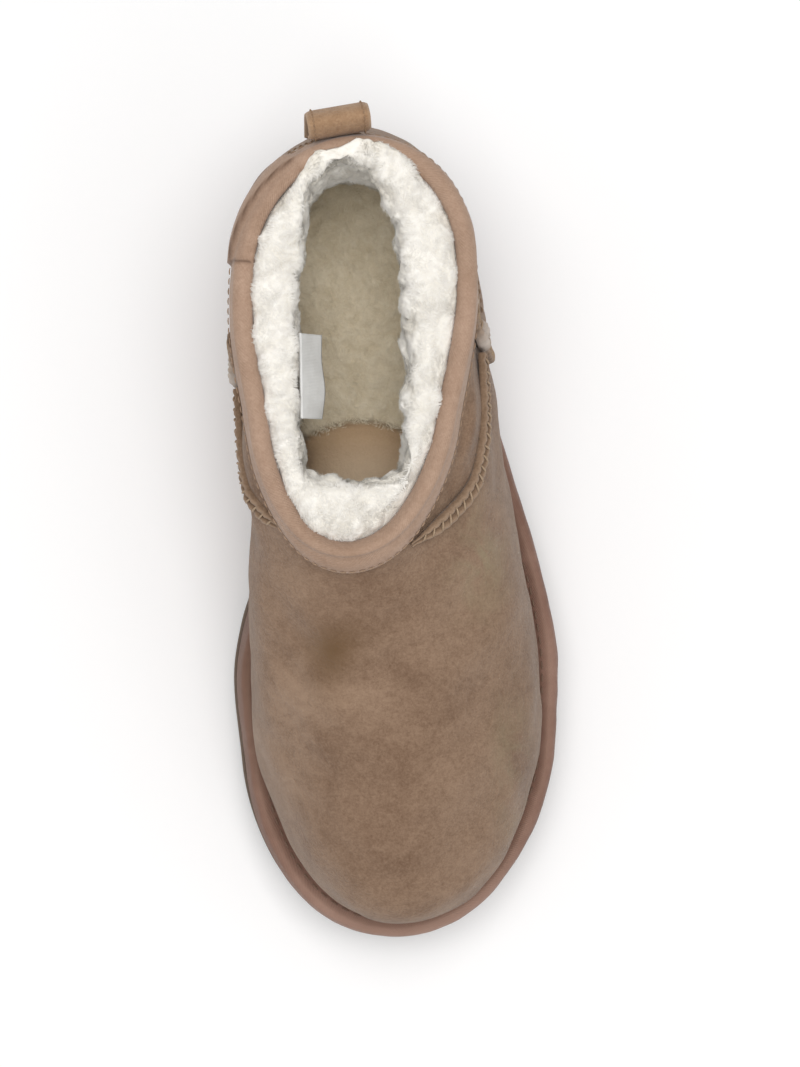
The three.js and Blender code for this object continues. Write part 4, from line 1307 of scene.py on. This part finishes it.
def vamp_seam_path(side):
    """The same along a vamp seam, by the table, with no knob and tapering over its front end."""
    step = np.linspace(0, 1, 130)
    knob_turn = side_seam_turn(knob_level, side)
    past_knob = turn_margin(knob_turn, np.float64(knob_level), knob_half_width + seam_apart)
    start = share_of_turn(knob_turn + past_knob)
    place = lerp(start, vamp_seam_end[side], column_at(vamp_seam_rows, "step", "forward", step))
    turn = sign_of[side] * turn_of_share(place)
    top = level_below_collar(turn, binding_drop_outside + vamp_seam_half_width + 3 * gap)
    level = lerp(knob_level, top, column_at(vamp_seam_rows, "step", "climb", step))
    taper = 1 - 0.85 * smoothstep(step, 0.7, 1.0)
    return turn, level, vamp_seam_half_width * (0.2 + 0.8 * taper), seam_height * taper, 0 * step


def make_seam(name, node, path, seed):
    """The table's section carried along a path on the upper, its height puckered by a sine wave
    at the pitch of the stitches. Gives the distance travelled along it."""
    turn, level, half_width, height, knob = path
    across, rise, channel = (
        np.array([row[key] for row in seam_section]) for key in ("across", "height", "channel")
    )
    level_run = run_along(upper_point(turn, level), False)
    pucker = 1 + 0.10 * np.sin(level_run * (2 * np.pi / cross_pitch)) + 0.05 * np.sin(level_run * 900 + seed)
    grid = seam_surface(turn, level, half_width, height * pucker, across, rise, channel)
    piece = grid_piece(name, grid)
    shape = grid.shape[:2]
    # Mark for the painted shade in the channel, not on the knob.
    shaded_channel = (channel > 0.5) * (1 - knob[:, None])
    on_crest = (np.abs(np.abs(across) - 0.5) < 0.25).astype(float)
    mark_points(piece, "channel", np.broadcast_to(shaded_channel, shape))
    mark_points(piece, "crest", np.broadcast_to(on_crest, shape))
    mark_points(piece, "knob", np.broadcast_to(knob[:, None], shape))
    piece.data.materials.append(seam_suede(name, paint(205, 194, 184)))
    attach(piece, "root")
    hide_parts(node)
    return level_run


def make_cross_stitches(name, path, level_run):
    """Threads laid aslant over the channel: at each pitch one runs forward from lip to lip. The
    knob has none."""
    turn, level, half_width, height, knob = path
    keep = np.arange(0.6 * cross_pitch, level_run[-1] - cross_pitch, cross_pitch)
    near, far = (
        np.clip(np.searchsorted(level_run, travel), 0, len(turn) - 1)
        for travel in (keep, keep + cross_slant * cross_pitch)
    )
    clear = knob[near] < 0.25
    near, far = near[clear], far[clear]

    def lip(side):
        place = (np.array([side * lip_place]), np.array([1.02]), np.array([0.0]))
        return seam_surface(turn, level, half_width, height, *place)[:, 0]

    normals = upper_slopes(turn, level)[2][near]
    stitches = threads(name, lip(-1)[near], lip(1)[far], normals, 0.36 * MM, 0.2 * MM)
    stitches.data.materials.append(thread_finish(name, paint(186, 164, 138), paint(136, 110, 86)))
    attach(stitches, "root")


for side in ("arch", "outer"):
    for kind, path in (("side", side_seam_path(side)), ("vamp", vamp_seam_path(side))):
        travel = make_seam(f"{kind}_seam_{side}_ridge", f"{kind}_seam_{side}", path, len(side) + len(kind))
        make_cross_stitches(f"{kind}_seam_{side}_thread", path, travel)


# Groove stitching. The platform's cover and the upper are sewn together all round, in the
# groove where they meet, and the binding is stitched through just above its lower edge.
groove_stitch_pitch = 4.2 * MM
groove_stitch_inset = 6.3 * MM
groove_stitch_lift = 1.1 * MM
binding_stitch_pitch = 3.0 * MM
binding_stitch_margin = 1.6 * MM


def make_ring_stitches(name, point_at, normal_at, pitch, share, colour, shade, radius):
    """Running stitches round a ring: evenly spaced by distance, each as long as its share of
    the pitch, laid from point to point of the ring."""
    fine = np.linspace(0, 2 * np.pi, 3000)
    travel = run_along(point_at(fine), False)
    count = int(travel[-1] / pitch)
    begin = np.arange(count) * travel[-1] / count
    first = np.interp(begin, travel, fine)
    last = np.interp(begin + share * pitch, travel, fine)
    stitches = threads(name, point_at(first), point_at(last), normal_at(first), radius, 0.5 * radius)
    stitches.data.materials.append(thread_finish(name, colour, shade))
    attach(stitches, "root")


def groove_point(turn):
    return sole_ring(turn, -groove_stitch_inset, lambda along: platform_top_at(along) + groove_stitch_lift)


make_ring_stitches(
    "groove_stitches", groove_point, lambda turn: np.broadcast_to(up, turn.shape + (3,)),
    groove_stitch_pitch, 0.6, paint(136, 110, 92), paint(104, 80, 66), 0.32 * MM,
)


def binding_stitch_point(turn):
    level = level_below_collar(turn, binding_drop_outside - binding_stitch_margin)
    return skin(turn, level, 2 * gap + binding_thickness + 0.12 * MM)


make_ring_stitches(
    "binding_stitches", binding_stitch_point, lambda turn: upper_slopes(turn, 0.9 + 0 * turn)[2],
    binding_stitch_pitch, 0.68, paint(176, 150, 126), paint(128, 102, 82), 0.24 * MM,
)


# Pull tab. A strip of tan suede folded into a flat loop, sewn to the back of the shaft over the
# heel counter and standing off it up to the collar's height.
tab_width = 19 * MM
tab_thickness = 1.8 * MM
tab_stand_off = 8.2 * MM
tab_drop = 26 * MM
tab_end = 6 * MM
tab_crown = 1.8 * MM
tab_shoulder = 1 * MM
tab_around = 0.002
# The tab's way up from its low end: how far below the collar's edge, as a share of tab_drop, and
# how far out from the shaft, as a share of tab_stand_off.
tab_rise = [(1, 0), (0.6, 0.4), (0.25, 0.75)]


def tab_frame():
    """Where the tab is sewn: the collar's edge there, the way straight out and the way along."""
    turn = float(turn_of_share(tab_around))
    normal = upper_slopes(np.array([turn]), np.array([1.0]))[2][0] * [1, 1, 0]
    outward = normal / np.linalg.norm(normal)
    return turn, upper_point(turn, 1.0), outward, np.cross(outward, up)


def tab_centre_line():
    """The strip's centre line seen from the side: distance out from the collar's edge, and height,
    on the smooth curve through its knots."""
    turn, edge, outward, _ = tab_frame()
    face = gap + binding_thickness
    on_counter = counter_gap + counter_thickness + gap + tab_thickness / 2
    on_binding = face + 2 * gap + tab_thickness / 2
    crest = edge[2] + face + binding_crown + gap + tab_crown

    def shaft_face(drop):
        return float((upper_point(turn, level_below_collar(turn, drop)) - edge) @ outward)

    rise = [[shaft_face(tab_drop * drop) + on_counter + out * tab_stand_off, edge[2] - tab_drop * drop]
            for drop, out in tab_rise]
    knots = np.array(rise + [
        [face + tab_stand_off, edge[2] + tab_shoulder],
        [(on_binding + face + tab_stand_off) / 2, crest],
        [on_binding, edge[2]],
        [shaft_face(tab_end) + on_binding, edge[2] - tab_end],
    ])
    places = np.linspace(0, len(knots) - 1, 90)
    return np.array([on_curve(np.arange(len(knots)), knots, place) for place in places])


def on_tab(across, line_point):
    """A point of the tab from its place across the width and its distance out and height."""
    _, edge, outward, along = tab_frame()
    flat = edge * [1, 1, 0] + across[..., None] * along + line_point[..., :1] * outward
    return flat + line_point[..., 1:] * up


def tab_suede():
    """Tan suede, paler along its two cut edges."""
    finish, colour = suede("tab_suede", paint(132, 100, 72), paint(182, 150, 120))
    finish.feed("Base Color", finish.blend(finish.mark("edge") * 0.6, colour, paint(196, 168, 140)))
    return finish.material


def make_tab():
    """The centre line carried across the tab's width, half its thickness to each side and thinner
    at both edges. Gives the piece, the line and the way out from it."""
    line = tab_centre_line()
    heading = np.gradient(line, axis=0)
    heading /= np.linalg.norm(heading, axis=1, keepdims=True)
    out = np.stack([heading[:, 1], -heading[:, 0]], -1)
    across = np.concatenate([np.linspace(-1, 1, 22), np.linspace(1, -1, 22)])
    face = np.concatenate([np.ones(22), -np.ones(22)])
    soften = np.clip(1.04 - np.abs(across) ** 14, 0.25, 1)
    thick = 0.5 * tab_thickness * face * soften
    section = line[:, None] + out[:, None] * thick[None, :, None]
    width = np.broadcast_to(across * tab_width / 2, section.shape[:2])
    grid = on_tab(width, section)
    piece = grid_piece("heel_loop", grid)
    mark_points(piece, "edge", np.broadcast_to((np.abs(across) > 0.93).astype(float), grid.shape[:2]))
    return piece, line, out


tab, tab_line, tab_out = make_tab()
tab.data.materials.append(tab_suede())
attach(tab, "root")
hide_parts("pull_tab")

tab_rows = np.arange(3, 84, 3)
tab_side = np.repeat([-0.8, 0.8], len(tab_rows)) * tab_width / 2
tab_index = np.tile(tab_rows, 2)
tab_face = tab_line + tab_out * (0.5 * tab_thickness + 0.1 * MM)
tab_starts, tab_ends = on_tab(tab_side, tab_face[tab_index]), on_tab(tab_side, tab_face[tab_index + 2])
tab_normals = on_tab(tab_side, tab_face[tab_index] + tab_out[tab_index]) - tab_starts
tab_stitches = threads("heel_loop_stitches", tab_starts, tab_ends, tab_normals, 0.25 * MM, 0.15 * MM)
tab_thread = thread_finish("heel_loop_thread", paint(170, 140, 110), paint(118, 90, 66))
tab_stitches.data.materials.append(tab_thread)
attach(tab_stitches, "root")


# Size label. A blank white satin tag, sewn by its top edge to the lining on the arch side, where
# the wool pushes it away from the wall.
label_length = 26 * MM
label_height = 15 * MM
label_thickness = 0.7 * MM
label_drop = 4 * MM
label_clear = 1 * MM
label_lean = math.radians(28)
label_around = 0.659


def label_cloth():
    """White satin ribbon: fine ribs across, a little shine."""
    finish = Finish("label_cloth", 0.5, specular=0.35)
    along_run, _, _ = finish.axes(finish.run())
    ribs = (along_run * (2 * math.pi / (0.45 * MM))).wave()
    cloud = finish.noise(6 * MM, 2)
    finish.feed("Base Color", finish.blend(cloud, paint(222, 221, 218), paint(246, 246, 244)))
    finish.feed("Roughness", 0.42 + ribs * 0.2)
    finish.relief(ribs * 0.04 * MM + cloud * 0.3 * MM)
    return finish.material


def make_label():
    """A flat tag with a slight curl, hung from a line just inside the mouth of the wool."""
    turn = turn_of_share(label_around)
    along = ring_point(mouth_ring, turn + 0.01) - ring_point(mouth_ring, turn - 0.01)
    along /= np.linalg.norm(along)
    inward = np.cross(up, along)
    inward /= np.linalg.norm(inward)
    hang = inward * math.sin(label_lean) - up * math.cos(label_lean)
    face = np.cross(along, hang)
    place = ring_point(mouth_ring, turn) + inward * label_clear - up * label_drop
    u = np.linspace(-0.5, 0.5, 40)[:, None, None]
    v = np.concatenate([np.linspace(0, 1, 22), np.linspace(1, 0, 22)])[None, :, None]
    side = np.concatenate([np.zeros(22), np.ones(22)])[None, :, None]
    curl = (0.4 * np.sin(5 * u + 1) + 0.3 * np.sin(9 * u * v)) * v * MM
    grid = place + along * u * label_length + hang * v * label_height + face * (side * label_thickness + curl)
    travel = run_along(grid[:, 30], False)
    height = run_along(grid[0], True)
    run = np.stack(np.broadcast_arrays(travel[:, None], height[None, :]), -1)
    return grid_piece("blank_tag", grid, run=run)


label = make_label()
label.data.materials.append(label_cloth())
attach(label, "root")
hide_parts("size_label")


# Floor and light. A plain pale floor, a big soft light overhead and a weaker one from the toe.
def make_floor():
    reach = 3.0
    corners = np.array([[-reach, -reach, 0], [reach, -reach, 0], [reach, reach, 0], [-reach, reach, 0]])
    mesh = bpy.data.meshes.new("floor")
    mesh.from_pydata((corners - [0, 0, 0.0003]).tolist(), [], [[0, 1, 2, 3]])
    floor = bpy.data.objects.new("floor", mesh)
    bpy.context.scene.collection.objects.link(floor)
    finish = Finish("floor", 0.9, specular=0.1)
    finish.shader.inputs["Base Color"].default_value = paint(253, 253, 253)
    mesh.materials.append(finish.material)
    return floor


def soft_light(name, place, aimed_at, size, power):
    data = bpy.data.lights.new(name, "AREA")
    data.shape = "SQUARE"
    data.size = size
    data.energy = power
    light = bpy.data.objects.new(name, data)
    bpy.context.scene.collection.objects.link(light)
    direction = Vector(aimed_at) - Vector(place)
    light.matrix_world = Matrix.Translation(place) @ direction.to_track_quat("-Z", "Y").to_matrix().to_4x4()


make_floor()
soft_light("overhead", (-0.08, 0.12, 1.5), (0, 0, 0.05), 0.7, 12.5)
soft_light("from_toe", (0.5, -1.1, 1.0), (0, 0, 0.05), 0.8, 2.2)
world = bpy.data.worlds.new("studio")
world.use_nodes = True
world.node_tree.nodes["Background"].inputs["Color"].default_value = (1, 1, 1, 1)
world.node_tree.nodes["Background"].inputs["Strength"].default_value = 0.52
bpy.context.scene.world = world
bpy.context.scene.view_settings.view_transform = "Standard"
